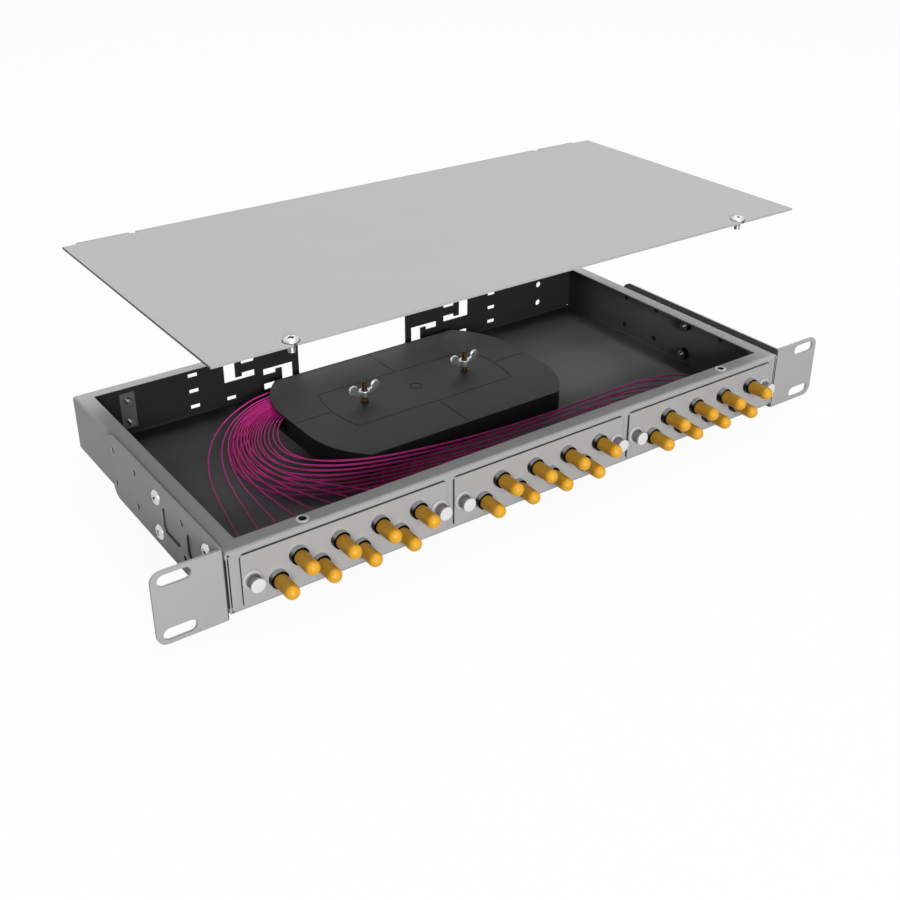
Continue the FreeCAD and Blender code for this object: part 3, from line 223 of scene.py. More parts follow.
class PanelStage(bpy.types.PropertyGroup):
    """Camera and lamps."""

    camera_place: bpy.props.FloatVectorProperty(
        name="Camera", description="Where the camera stands", subtype="TRANSLATION", unit="LENGTH",
        default=(-0.400192, -0.469656, 0.360996),
    )
    azimuth: quantity(
        "Azimuth", "Turn of the view from straight ahead", math.radians(35.493), unit="ROTATION"
    )
    elevation: quantity(
        "Elevation", "How far the view looks down", math.radians(27.5085), unit="ROTATION"
    )
    roll: quantity("Roll", "Tilt of the picture", 0.002182, unit="ROTATION")
    lens: quantity("Lens", "Focal length", 48.562, subtype="DISTANCE_CAMERA")
    shift: quantity("Shift", "Upward shift of the frame", -0.05)
    key_power: quantity("Key", "Power of the lamp overhead", 39.0, min=0.0, unit="POWER")
    front_power: quantity("Front", "Power of the low lamp in front", 48.0, min=0.0, unit="POWER")
    fill: quantity("Fill", "Strength of the light from all round", 0.15, min=0.0)


# Surfaces


class Shape:
    """Points, faces and UV places of one piece, kept as whole arrays until they go into a mesh."""

    def __init__(self):
        self.points = []
        self.shades = []
        self.faces = []
        self.count = 0

    def skin(self, grid, ring=False, shade=None):
        """Adds a surface given as points on a grid: rows run along it and columns run round it, and
        the columns close on themselves. A first or last row whose points all meet becomes a pole with
        a fan of triangles, an open one is closed by such a fan, and with ring the rows close too. The
        shade of each point is kept for the finish."""
        rows, columns = grid.shape[:2]
        shade = np.zeros((rows, columns)) if shade is None else shade * np.ones((rows, columns))
        steps = np.linalg.norm(np.diff(grid, axis=0), axis=2).mean(axis=1)
        along = np.concatenate([[0.0], np.cumsum(steps)]) * 100
        first = int(not ring and np.ptp(grid[0], axis=0).max() < 1e-9)
        last = rows - int(not ring and np.ptp(grid[-1], axis=0).max() < 1e-9)
        body = grid[first:last]
        along = along[first:last]
        shades = shade[first:last].reshape(-1)
        count = len(body)
        index = np.arange(count * columns).reshape(count, columns)
        share = np.arange(columns + 1) / columns
        lower = np.arange(count if ring else count - 1)
        upper = (lower + 1) % count
        beside = np.roll(index, -1, axis=1)
        quads = np.stack([index[lower], beside[lower], beside[upper], index[upper]], axis=2)
        low_v = along[lower]
        high_v = np.where(upper > lower, along[upper], along[lower] + 0.02)
        places = np.zeros((len(lower), columns, 4, 2))
        places[..., 0] = share[np.arange(columns)[:, None] + np.array([0, 1, 1, 0])]
        places[..., 1] = np.stack([low_v, low_v, high_v, high_v], axis=1)[:, None]
        points = body.reshape(-1, 3)
        faces = [(quads.reshape(-1, 4), places.reshape(-1, 4, 2))]
        if not ring:
            ends = np.stack([grid[0].mean(axis=0), grid[-1].mean(axis=0)])
            first = len(points)
            points = np.concatenate([points, ends])
            shades = np.concatenate([shades, [shade[0].mean(), shade[-1].mean()]])
            middle = (share[:-1] + share[1:]) / 2
            for pole, row, way in ((first, 0, -1), (first + 1, count - 1, 1)):
                fan = np.stack([np.full(columns, pole), index[row], beside[row]], axis=1)
                fan_places = np.zeros((columns, 3, 2))
                fan_places[..., 0] = np.stack([middle, share[:-1], share[1:]], axis=1)
                fan_places[..., 1] = along[row] + np.array([way * 0.01, 0, 0])
                if way < 0:
                    fan = fan[:, [0, 2, 1]]
                    fan_places = fan_places[:, [0, 2, 1]]
                faces.append((fan, fan_places))
        return self.take(points, [shades], faces)

    def put(self, other, origin, axis, side):
        """Adds a copy of another shape, turned so that its own third direction lies along axis and
        its first along side, and moved to origin."""
        axis = np.asarray(axis, float)
        side = np.asarray(side, float)
        turn = np.stack([side, np.cross(axis, side), axis])
        points = np.concatenate(other.points) @ turn + np.asarray(origin, float)
        return self.take(points, other.shades, other.faces)

    def take(self, points, shades, faces):
        """Adds points, their shades and the faces between them."""
        for corners, uv in faces:
            self.faces.append((corners + self.count, uv))
        self.points.append(points)
        self.shades += shades
        self.count += len(points)
        return self

    def mesh(self, name, crease=math.radians(38)):
        """Puts the arrays into a mesh, smooth but for the edges that turn more than the crease."""
        mesh = bpy.data.meshes.new(name)
        points = np.concatenate(self.points)
        corners = np.concatenate([f.reshape(-1) for f, _ in self.faces]).astype(np.int32)
        places = np.concatenate([uv.reshape(-1, 2) for _, uv in self.faces]).astype(np.float32)
        sizes = np.concatenate([np.full(len(f), f.shape[1]) for f, _ in self.faces]).astype(np.int32)
        starts = np.concatenate([[0], np.cumsum(sizes)[:-1]]).astype(np.int32)
        mesh.vertices.add(len(points))
        mesh.vertices.foreach_set("co", points.astype(np.float32).reshape(-1))
        mesh.loops.add(len(corners))
        mesh.loops.foreach_set("vertex_index", corners)
        mesh.polygons.add(len(sizes))
        mesh.polygons.foreach_set("loop_start", starts)
        layer = mesh.uv_layers.new(name="surface")
        layer.uv.foreach_set("vector", places.reshape(-1))
        shade = mesh.attributes.new("shade", "FLOAT", "POINT")
        shade.data.foreach_set("value", np.concatenate(self.shades).astype(np.float32))
        mesh.update(calc_edges=True)
        if mesh.validate(verbose=False):
            raise RuntimeError(f"{name} has faces that aren't valid")
        mesh.shade_smooth()
        mesh.set_sharp_from_angle(angle=crease)
        return mesh


def around(columns):
    return np.linspace(0.0, 2 * np.pi, columns, endpoint=False)


def turned(radii, heights, angles):
    """A turned surface: (r cos u, r sin u, w), with r and w given for each row, or each row and u."""
    radii = np.asarray(radii, float)
    heights = np.asarray(heights, float)
    if radii.ndim == 1:
        radii = radii[:, None]
    if heights.ndim == 1:
        heights = heights[:, None]
    spread = np.ones((1, len(angles)))
    return np.stack(
        [radii * np.cos(angles) * spread, radii * np.sin(angles) * spread, heights * spread], axis=2
    )


def softened(profile, radius, steps=4, closed=False):
    """A profile whose corners are eased: each corner becomes the parabola (1-t)^2 a + 2t(1-t) c + t^2 b
    between points a and b that lie a radius before and after the corner c."""
    points = np.asarray(profile, float)
    before = np.roll(points, 1, axis=0)
    after = np.roll(points, -1, axis=0)
    to_before = before - points
    to_after = after - points
    gap_before = np.linalg.norm(to_before, axis=1, keepdims=True)
    gap_after = np.linalg.norm(to_after, axis=1, keepdims=True)
    reach = np.minimum(radius, 0.45 * np.minimum(gap_before, gap_after))
    start = points + to_before / gap_before * reach
    end = points + to_after / gap_after * reach
    t = np.linspace(0, 1, steps)[None, :, None]
    eased = (1 - t) ** 2 * start[:, None] + 2 * t * (1 - t) * points[:, None] + t**2 * end[:, None]
    if closed:
        return eased.reshape(-1, 2)
    inner = eased[1:-1].reshape(-1, 2)
    return np.concatenate([points[:1], inner, points[-1:]])


def lathe(profile, columns, ring=False, shade=None):
    """A profile of radius and height, turned round the third axis."""
    profile = np.asarray(profile, float)
    return Shape().skin(turned(profile[:, 0], profile[:, 1], around(columns)), ring, shade)


def thread_rows(start, end, pitch, per_pitch=5):
    return np.linspace(start, end, max(4, int(round((end - start) / pitch * per_pitch)) + 1))


def threaded(radius, depth, pitch, heights, angles):
    """Radius of a helical thread: R - d (1 - |2 f - 1|), where f is the fraction of w / pitch - u / 2 pi.
    It runs out over half a pitch at both ends."""
    turn = heights[:, None] / pitch - angles[None, :] / (2 * np.pi)
    wave = 1 - np.abs(2 * np.mod(turn, 1.0) - 1)
    room = np.minimum(heights - heights[0], heights[-1] - heights)[:, None]
    return radius - depth * wave * np.clip(room / (pitch / 2), 0, 1)


def cross_recess(x, y, reach, half_width, depth):
    """Depth of a cross-shaped recess at (x, y): two bars of the given reach and half width, whose floor
    falls from nothing at the bars' ends to the full depth in the middle, with steep walls."""
    bar_a = np.maximum(np.abs(x) - reach, np.abs(y) - half_width)
    bar_b = np.maximum(np.abs(y) - reach, np.abs(x) - half_width)
    inside = np.clip(-np.minimum(bar_a, bar_b) / (half_width * 0.45), 0, 1)
    fall = np.clip(1.35 * (1 - np.hypot(x, y) / reach), 0, 1)
    return depth * inside * fall


def pan_screw(head, height, shank, length, pitch, recess, columns, dark=0.0):
    """A pan head screw whose seat is at w = 0. The head follows (r/R)^3 + (w/h)^2.4 = 1, less the cross
    recess, and the shank is a helical thread with a tapered tip. The recess gets painted shade, and the
    shank gets painted shade by the share given."""
    angles = around(columns)
    t = np.linspace(0, 1, 22)
    t = np.sin(t * np.pi / 2) ** 0.9 * np.pi / 2
    radii = head * np.cos(t) ** (2 / 3)
    heights = height * np.sin(t) ** (2 / 2.4)
    radii[-1] = 0
    under = np.array([0.0, head * 0.6, head * 0.94])
    rows_r = np.concatenate([under, [head], radii[1:]])
    rows_w = np.concatenate([np.zeros(3), [height * 0.05], np.maximum(heights[1:], height * 0.08)])
    grid = turned(rows_r, rows_w, angles)
    cut = cross_recess(grid[4:, :, 0], grid[4:, :, 1], head * 0.6, head * 0.17, recess)
    grid[4:, :, 2] -= cut
    shade = np.zeros(grid.shape[:2])
    shade[4:] = np.clip(cut / recess * 2.5, 0, 1)
    shape = Shape().skin(grid, shade=shade)
    rows = thread_rows(-length, height * 0.2, pitch)
    few = around(columns // 2)
    body = threaded(shank, pitch * 0.5, pitch, rows, few)
    tip = np.clip((rows + length) / pitch + 0.35, 0, 1)[:, None]
    body = np.minimum(body, shank * (0.72 + 0.28 * tip))
    return shape.skin(turned(body, rows, few), shade=dark)


def hexagon_nut(flats, height, bore, columns=36):
    """A nut: the radius is half the flats over cos of the angle from the nearest flat, cut by a cone
    that starts just inside the corners at each face and widens by the slope of 30 degrees."""
    angles = around(columns)
    side = flats / 2 / np.cos(np.mod(angles, np.pi / 3) - np.pi / 6)
    chamfer = np.linspace(0, 0.14, 4) * flats
    rows = np.concatenate([chamfer, height - chamfer[::-1]])
    cone = flats / 2 * 0.98 + np.minimum(rows, height - rows) * 1.73
    outer = np.minimum(side[None, :], cone[:, None])
    edge = flats * 0.03
    inner_w = np.array([height, height - edge, edge, 0.0])
    inner_r = np.array([bore + edge, bore, bore, bore + edge])
    face = np.full((1, columns), flats / 2 * 0.9)
    radii = np.concatenate([face, outer, face, np.repeat(inner_r[:, None], columns, axis=1)])
    heights = np.concatenate([[0.0], rows, [height], inner_w])
    # The rows round the bore are marked for the finish: a painted highlight ring on the bracket nuts,
    # painted shade on the coupler nuts.
    rim = np.zeros(len(radii))
    rim[[len(rows) + 2, len(rows) + 3, -1, -2]] = 1
    return Shape().skin(turned(radii, heights, angles), ring=True, shade=rim[:, None])


def threaded_tube(radius, bore, start, end, pitch, columns):
    """A threaded sleeve: the helical thread outside, a plain bore inside, flat ends."""
    angles = around(columns)
    rows = thread_rows(start, end, pitch, 4)
    outer = threaded(radius, pitch * 0.45, pitch, rows, angles)
    radii = np.concatenate([outer, np.full((2, columns), bore)])
    heights = np.concatenate([rows, [end, start]])
    return Shape().skin(turned(radii, heights, angles), ring=True)


def split_sector(profile, first, last, columns=8):
    """A closed section carried round an arc from one angle to another. The section shrinks to its own
    middle at both ends, which closes them."""
    section = np.asarray(profile, float)
    middle = section.mean(axis=0)
    angles = np.linspace(first, last, columns)
    angles = np.concatenate([angles[:1], angles, angles[-1:]])
    rings = np.repeat(section[None], len(angles), axis=0)
    rings[0] = middle
    rings[-1] = middle
    grid = np.stack(
        [rings[..., 0] * np.cos(angles)[:, None], rings[..., 0] * np.sin(angles)[:, None], rings[..., 1]],
        axis=2,
    )
    return Shape().skin(grid[:, ::-1])


def copies(other, places, side):
    """One shape out of copies of another, which point along Y at the places given."""
    shape = Shape()
    for place in places:
        shape.put(other, place, Y_AXIS, side)
    return shape


def in_scene(name, data):
    """Makes an object out of its data and puts it into the scene."""
    item = bpy.data.objects.new(name, data)
    bpy.context.scene.collection.objects.link(item)
    return item


def piece(name, shape, finish, body="chassis", node=None):
    """Makes the object, gives it its finish and ties it to its body in the frame. Where a node is
    given, the piece replaces it."""
    item = in_scene(name, shape.mesh(name))
    item.data.materials.append(finish_for(finish))
    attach(item, body)
    if node:
        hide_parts(node)


def detailed(node, shape, finish, body="chassis"):
    """Makes the finer piece that stands in place of a node."""
    piece(f"{node}_detailed", shape, finish, body, node)


# Finishes


def maths(operation, swapped=False):
    """A method that adds the Math node of an operation."""

    def method(self, *others):
        terms = (*others, self) if swapped else (self, *others)
        return self.wiring.add("ShaderNodeMath", {"operation": operation}, dict(enumerate(terms)))

    return method


class Value:
    """A socket inside a material. The plain operators add the Math nodes that they stand for."""

    __add__ = __radd__ = maths("ADD")
    __sub__ = maths("SUBTRACT")
    __rsub__ = maths("SUBTRACT", swapped=True)
    __mul__ = maths("MULTIPLY")
    __gt__ = maths("GREATER_THAN")
    __lt__ = maths("LESS_THAN")
    __abs__ = maths("ABSOLUTE")
    at_least = maths("MAXIMUM")
    root = maths("SQRT")
    sine = maths("SINE")

    def __init__(self, wiring, socket):
        self.wiring = wiring
        self.socket = socket


class Wiring:
    """Adds nodes to one tree."""

    def __init__(self, tree):
        self.tree = tree
        tree.nodes.clear()

    def pick(self, sockets, key):
        if isinstance(key, int):
            return sockets[key]
        return next(s for s in sockets if key in (s.identifier, s.name))

    def add(self, kind, choices=None, inputs=None, output=0):
        """Adds a node: its settings first, then a number, a colour or a link for each socket."""
        node = self.tree.nodes.new(kind)
        for name, choice in (choices or {}).items():
            setattr(node, name, choice)
        for key, given in (inputs or {}).items():
            self.feed(self.pick(node.inputs, key), given)
        return Value(self, self.pick(node.outputs, output))

    def feed(self, socket, given):
        if isinstance(given, Value):
            self.tree.links.new(given.socket, socket)
        elif hasattr(given, "__len__") and len(given) == 3 and len(socket.default_value) == 4:
            socket.default_value = (*given, 1)
        else:
            socket.default_value = given

    def close(self, kind, surface):
        """Ends the tree in its output."""
        output = self.tree.nodes.new(kind)
        self.tree.links.new(surface.socket, output.inputs["Surface"])

    def blend(self, share, first, second):
        """The colour between two colours."""
        return self.add(
            "ShaderNodeMix",
            {"data_type": "RGBA"},
            {"Factor_Float": share, "A_Color": first, "B_Color": second},
            "Result_Color",
        )

    def camera_like(self):
        """One for rays from the camera, and for mirror and glass rays, and nothing for other light."""
        camera, mirror, glass = [
            self.add("ShaderNodeLightPath", None, None, f"Is {kind} Ray")
            for kind in ("Camera", "Glossy", "Transmission")
        ]
        return camera + mirror + glass > 0.5


class Finish(Wiring):
    """A material built round one Principled shader."""

    def __init__(self, name, constants):
        self.material = bpy.data.materials.new(name)
        self.material.use_nodes = True
        super().__init__(self.material.node_tree)
        self.shader = self.tree.nodes.new("ShaderNodeBsdfPrincipled")
        self.close("ShaderNodeOutputMaterial", Value(self, self.shader.outputs[0]))
        for key, value in constants.items():
            self.set(key, value)

    def set(self, key, value):
        self.feed(self.pick(self.shader.inputs, key), value)

    def place(self):
        return self.add("ShaderNodeTexCoord", None, None, "Object")

    def across(self):
        """The place on the surface itself: round the piece, and along it in centimetres."""
        return self.split(self.add("ShaderNodeTexCoord", None, None, "UV"))

    def split(self, vector):
        return [self.add("ShaderNodeSeparateXYZ", None, {0: vector}, axis) for axis in range(3)]

    def noise(self, scale, detail):
        inputs = {"Vector": self.place(), "Scale": scale, "Detail": detail}
        return self.add("ShaderNodeTexNoise", None, inputs)

    def depth(self, box, radius):
        """How far a point is outside a box with rounded edges, and less than nothing inside."""
        total = 0.0
        for value, least, most in zip(self.split(self.place()), *box):
            over = (abs(value - (least + most) / 2) - ((most - least) / 2 - radius)).at_least(0.0)
            total = over * over + total
        return total.root() - radius

    def off(self, x, y):
        """The square of the distance from an upright line."""
        across, along, _ = self.split(self.place())
        across = across - x
        along = along - y
        return across * across + along * along

    def spot(self, x, y, radius):
        """One round an upright line, going smoothly to nothing at a radius."""
        return self.ramp(self.off(x, y).root(), radius, radius * 0.25)

    def near(self, x, y, radius):
        """One inside an upright cylinder, nothing outside."""
        return self.off(x, y) < radius**2

    def scaled(self, colour, factor):
        return self.add("ShaderNodeVectorMath", {"operation": "SCALE"}, {0: colour, "Scale": factor})

    def tones(self, share, colour, low, high):
        """The colour between two tones of one colour."""
        return self.blend(share, toned(colour, low), toned(colour, high))

    def ramp(self, value, first, last):
        """A share that goes smoothly from nothing to one between two values."""
        return self.add(
            "ShaderNodeMapRange", {"interpolation_type": "SMOOTHSTEP"},
            {"Value": value, "From Min": first, "From Max": last},
        )

    def shading(self):
        """The shade that the shape gave each point."""
        return self.add("ShaderNodeAttribute", {"attribute_name": "shade"}, None, "Fac")

    def surface(self, tone, roughness, relief, distance, strength):
        """Sets the colour, the roughness and the bump."""
        self.set("Base Color", tone)
        self.set("Roughness", roughness)
        inputs = {"Strength": strength, "Distance": distance, "Height": relief}
        self.set("Normal", self.add("ShaderNodeBump", None, inputs))


def toned(colour, factor):
    return tuple(min(1.0, c * factor) for c in colour)


def coat(name, colour):
    """Fine textured powder coat: a grain of under a millimetre and a slow drift of tone."""
    finish = Finish(name, {"Specular IOR Level": 0.25})
    grain = finish.noise(1300, 2)
    drift = finish.noise(28, 3)
    tone = finish.blend(grain * 0.5, finish.tones(drift, colour, 0.975, 1.025), toned(colour, 0.94))
    finish.surface(tone, 0.58 + (grain - 0.5) * 0.12, grain, 0.00002, 0.6)
    return finish, tone, grain


def plain_coat(name, colour):
    return coat(name, colour)[0].material


def cover_coat(name, colours):
    """The cover's coat: the cut sides are darker, painted shade, and so is a ring round each screw, a
    painted shadow under the head.
    """
    finish, tone, _ = coat(name, colours.cover)
    # Painted shade on the cut sides, and painted shadow round the screw heads.
    dark = abs(finish.split(finish.place())[0]) > COVER[1].x - 0.0002
    for side in (-1, 1):
        dark = dark + finish.near(side * COVER_SCREW_X, COVER_SCREW_Y, 0.0046)
    finish.set("Base Color", finish.blend(dark, tone, toned(colours.cover, 0.2)))
    return finish.material


def tray_coat(name, colours):
    """The tray's coat: the light grey outside, and inside the folds the darker tone, which is painted shade
    for the shade under the cover. It gets darker still towards the rear wall, the floor's edges and the
    cassette's mouth, painted shadow, and is paler right of the cassette, a painted pool of light. The cut
    edges at the open corners are painted near black too, as shadow in the gaps there."""
    finish, tone, grain = coat(name, colours.frame)
    # inside marks where the painted shade goes: everything within the folds.
    inside = finish.depth(TRAY, BEND_RADIUS) < -0.0003
    across, along, height = finish.split(finish.place())
    side = abs(across)
    # edge and rear: painted shade that deepens towards the side walls and the rear wall.
    edge = finish.ramp(side, 0.15, 0.205)
    rear = finish.ramp(along, 0.07, 0.2)
    # The lighter and the deepest tone of the painted shade; thick is the deepest.
    light_painted_shade = finish.tones(grain, colours.inside, 0.92, 1.08)
    thick = finish.tones(grain, colours.inside, 0.26, 0.32)
    dark = finish.blend(1 - (1 - rear) * (1 - edge * 0.6), light_painted_shade, thick)
    # mouth: painted shadow by the cassette's mouth; pale: a painted pool of light right of the cassette;
    # drop: painted shade along the rear wall.
    mouth = finish.spot(-0.082, 0.094, 0.06)
    pale = finish.spot(0.13, 0.118, 0.08)
    drop = (1 - finish.ramp(along, 0.165, 0.203) * 0.72) * (1 - mouth * 0.85)
    dark = finish.scaled(dark, drop * (1 + pale * 0.9))
    tone = finish.blend(inside, tone, dark)
    # seam: painted shadow in the gaps at the open front corners.
    seam = (side > 0.2002) * (side < 0.2010) + (side > 0.2016)
    seam = seam * (along < 0.0013) * (abs(height) < TRAY[1].z - 0.0035)
    finish.set("Base Color", finish.blend(seam, tone, toned(colours.frame, 0.06)))
    return finish.material


def bracket_coat(name, colours):
    """The brackets' coat, with painted shade on the faces and cut edges that are turned to the tray."""
    finish, tone, _ = coat(name, colours.frame)
    across, along, height = finish.split(finish.place())
    side = abs(across)
    # Painted shade on the faces and cut edges that face the tray.
    inside = (side < BRACKET[0].x + 0.0011) * (height < BRACKET[1].z - 0.0002)
    inside = (inside + (side < BRACKET[0].x + 0.0004)) * (along > 0.0003)
    finish.set("Base Color", finish.blend(inside, tone, toned(colours.inside, 0.3)))
    return finish.material


def plate_coat(name, colours):
    """The coupler plates' coat, with the cut edge of the sheet in a darker tone."""
    finish, tone, _ = coat(name, colours.frame)
    across, _, height = finish.split(finish.place())
    rim = abs(height - PLATE_Z) > 0.0159
    for middle in PLATE_X:
        off = abs(across - middle)
        rim = rim + (off > PLATE_HALF - 0.0001) * (off < PLATE_HALF + 0.0001)
    finish.set("Base Color", finish.blend(rim, tone, toned(colours.frame, 0.12)))
    return finish.material


def plated(name, colour, roughness, shaded=(0.02, 0.02, 0.02), metallic=1.0):
    """Plated metal: fine turning lines round the piece and a cloudy bloom in the polish. Where the shape's
    shade is set it has the second colour: painted shade where that colour is darker, a painted highlight
    where it is lighter."""
    finish = Finish(name, {"Metallic": metallic})
    line = (finish.across()[1] * (2 * math.pi * 60.0)).sine()
    cloud = finish.noise(420, 3)
    tone = finish.blend(finish.shading(), finish.tones(cloud, colour, 0.86, 1.08), shaded)
    finish.surface(tone, roughness + (cloud - 0.5) * 0.16, line * 0.25 + cloud, 0.000012, 0.5)
    return finish.material


def amber_plastic(name, colour):
    """Soft translucent cap plastic with a faint mould drift. The body is darkened as painted shade, and the
    closed tip is paler, a painted highlight."""
    finish = Finish(
        name,
        {"Subsurface Weight": 0.12, "Subsurface Radius": (0.003, 0.0012, 0.0004), "Subsurface Scale": 1.0,
         "Specular IOR Level": 0.45},
    )
    drift = finish.noise(260, 2)
    # body and tip: shaded and lit tones of the cap colour, painted shade and a painted highlight.
    body = finish.tones(drift, colour, 0.74, 0.84)
    tip = finish.tones(drift, colour, 1.4, 1.5)
    closed = finish.ramp(finish.split(finish.place())[1], CAP_TIP + 0.006, CAP_TIP + 0.0015)
    tone = finish.blend(closed, body, tip)
    finish.surface(tone, 0.36 + drift * 0.1, finish.noise(1500, 2), 0.00001, 0.5)
    return finish.material


def moulded(name, colour, roughness, shaded=1.0):
    """Moulded plastic with a fine spark-eroded grain. Where the shape's shade is set it is darker by the
    factor given, painted shade."""
    finish = Finish(name, {"Specular IOR Level": 0.42})
    grain = finish.noise(1600, 2)
    drift = finish.noise(45, 3)
    tone = finish.blend(grain * 0.6, finish.tones(drift, colour, 0.93, 1.07), toned(colour, 0.85))
    tone = finish.blend(finish.shading(), tone, toned(colour, shaded))
    finish.surface(tone, roughness + (grain - 0.5) * 0.14, grain, 0.00002, 0.7)
    return finish.material


def cassette_plastic(name, colour):
    """Matt dark plastic, its upright sides and the rings round the studs painted nearly black as shade,
    lighter on the lid's top.
    """
    finish = Finish(name, {"Specular IOR Level": 0.35})
    grain = finish.noise(1500, 2)
    # top: the lid's top, which keeps the lighter tone; the upright sides and the rings round the studs get
    # painted shade.
    top = finish.split(finish.place())[2] > LID[1].z - 0.0011
    for x in STUD_XS:
        top = top * (1 - finish.near(x, STUD_Y, 0.0032))
    tone = finish.blend(top, toned(colour, 0.14), finish.tones(grain, colour, 0.9, 1.12))
    finish.surface(tone, 0.52 + (grain - 0.5) * 0.15, grain, 0.00002, 0.7)
    return finish.material


def jacket(name, colour):
    """The fibres' jacket: a faint drift of tone along the length."""
    finish = Finish(name, {"Specular IOR Level": 0.4})
    drift = finish.noise(130, 2)
    finish.set("Base Color", finish.tones(drift, colour, 0.86, 1.1))
    finish.set("Roughness", 0.38 + drift * 0.12)
    return finish.material


FINISHES = {}


def finish_for(name):
    """The material of that name, made once."""
    if name not in FINISHES:
        colours = bpy.context.scene.panel_colours
        makers = {
            "cover_paint": (cover_coat, colours),
            "tray_paint": (tray_coat, colours),
            "bracket_paint": (bracket_coat, colours),
            "plate_paint": (plate_coat, colours),
            # The strength plate inside the tray takes a tone of the painted shade.
            "inside_paint": (plain_coat, toned(colours.inside, 0.5)),
            # Nearly black discs that stand for the shade in the spare holes.
            "blank_paint": (plain_coat, toned(colours.inside, 0.05)),
            "zinc_steel": (plated, colours.zinc, 0.34),
            # The bracket nuts: nearly black as painted shade, with a painted highlight ring of zinc round
            # the bore.
            "dark_steel": (plated, (0.03, 0.03, 0.03), 0.4, colours.zinc),
            # The rivet nuts are near white as a painted highlight that stands for a reflection, and their
            # hole gets painted shade.
            "pale_zinc": (plated, (0.95, 0.95, 0.95), 0.5, (0.02, 0.02, 0.02), 0.3),
            # The wing nuts: darker zinc faces and pale rims, a painted reflection and a painted highlight.
            "wing_zinc": (plated, toned(colours.zinc, 0.74), 0.45, (0.85, 0.85, 0.86)),
            # The couplers' shaded colour is near black: painted shade in the recess and a painted dark
            # reflection on the collar.
            "nickel_plate": (plated, colours.nickel, 0.36, (0.004, 0.004, 0.005)),
            "brass": (plated, colours.brass, 0.34, (0.02, 0.011, 0.004)),
            "cap_amber": (amber_plastic, colours.cap),
            "latch_white": (moulded, (1.0, 0.985, 1.0), 0.4, 0.36),
            "latch_grey": (moulded, (0.68, 0.68, 0.69), 0.42, 0.42),
            "plug_plastic": (moulded, (0.16, 0.16, 0.17), 0.45),
            "holder_plastic": (moulded, (0.55, 0.55, 0.54), 0.5),
            "splice_plastic": (moulded, (0.7, 0.71, 0.72), 0.25),
            "cassette_plastic": (cassette_plastic, colours.cassette),
            "fibre_jacket": (jacket, colours.fibre),
        }
        maker, *settings = makers[name]
        FINISHES[name] = maker(name, *settings)
    return FINISHES[name]


def ports():
    """The places of the 24 ports as (plate, number within it, x, z), from left to right."""
    places = []
    for plate, middle in enumerate(PLATE_X):
        for index in range(PORTS_PER_PLATE):
            places.append((plate, index, middle + PORT_FIRST + PORT_PITCH * index, PORT_ROWS[index % 2]))
    return places


def port_places(plates=(0, 1, 2)):
    """The places of the ports of some plates, as points."""
    return [(x, 0.0, z) for plate, _, x, z in ports() if plate in plates]


def side_places(ys):
    """The places of the holes in the tray's two sides, as (side, y, z)."""
    return [(side, y, z) for side in (-1, 1) for y in ys for z in BRACKET_SCREW_ZS]


def between(first, last, shares):
    """Points between two rows of points, with a share for each."""
    return [tuple(a + (b - a) * share for a, b in zip(p, q)) for p, q, share in zip(first, last, shares)]


def stepped(points, number, shares):
    """Points, moved for the second fibre of a pair by a share of the step between the two."""
    odd = number % 2
    return [tuple(a + odd * e * step for a, step in zip(p, PAIR_STEP)) for p, e in zip(points, shares)]


def fibre_route(plate, index, x, z):
    """The control points of one fibre in metres, from the cassette to its plug."""
    share = index / (PORTS_PER_PLATE - 1)
    if plate == 0:
        own = LEFT_SHARES[index]
        route = between(LEFT_FIRST, LEFT_LAST, [own + (share - own) * e for e in LEFT_EQUAL])
    else:
        order = index + (plate - 1) * PORTS_PER_PLATE
        own = LONG_SHARES[order]
        common = order // 2 / (PORTS_PER_PLATE - 1)
        place, step = LONG_PAIRED
        route = between(LONG_FIRST, LONG_LAST, [own + (common - own) * e for e in place])
        route = stepped(route, index, step)
        if plate == 1:
            first, last, (place, step) = CENTRE_FIRST, CENTRE_LAST, CENTRE_PAIRED
        else:
            first, last, (place, step) = RIGHT_FIRST, RIGHT_LAST, RIGHT_PAIRED
        common = index // 2 / (PORTS_PER_PLATE // 2 - 1)
        run = between(first, last, [share + (common - share) * e for e in place])
        route += stepped(run, index, step)
    port_x, port_z = x * 1000, z * 1000
    dip_x = port_x + (route[-1][0] - port_x) * DIP_SHARE
    route.append((dip_x, BOOT_END + DIP_RUN, DIP_Z + (port_z - DIP_Z) * DIP_SHARE))
    route += [(port_x, BOOT_END + PORT_RUN, port_z), (port_x, BOOT_END, port_z)]
    return np.array(route) / 1000


def spline_length(item):
    """Length of a curve without its thickness: the sum of the steps along its line."""
    line = bpy.data.meshes.new_from_object(item)
    points = np.zeros(len(line.vertices) * 3)
    line.vertices.foreach_get("co", points)
    bpy.data.meshes.remove(line)
    return float(np.linalg.norm(np.diff(points.reshape(-1, 3), axis=0), axis=1).sum())


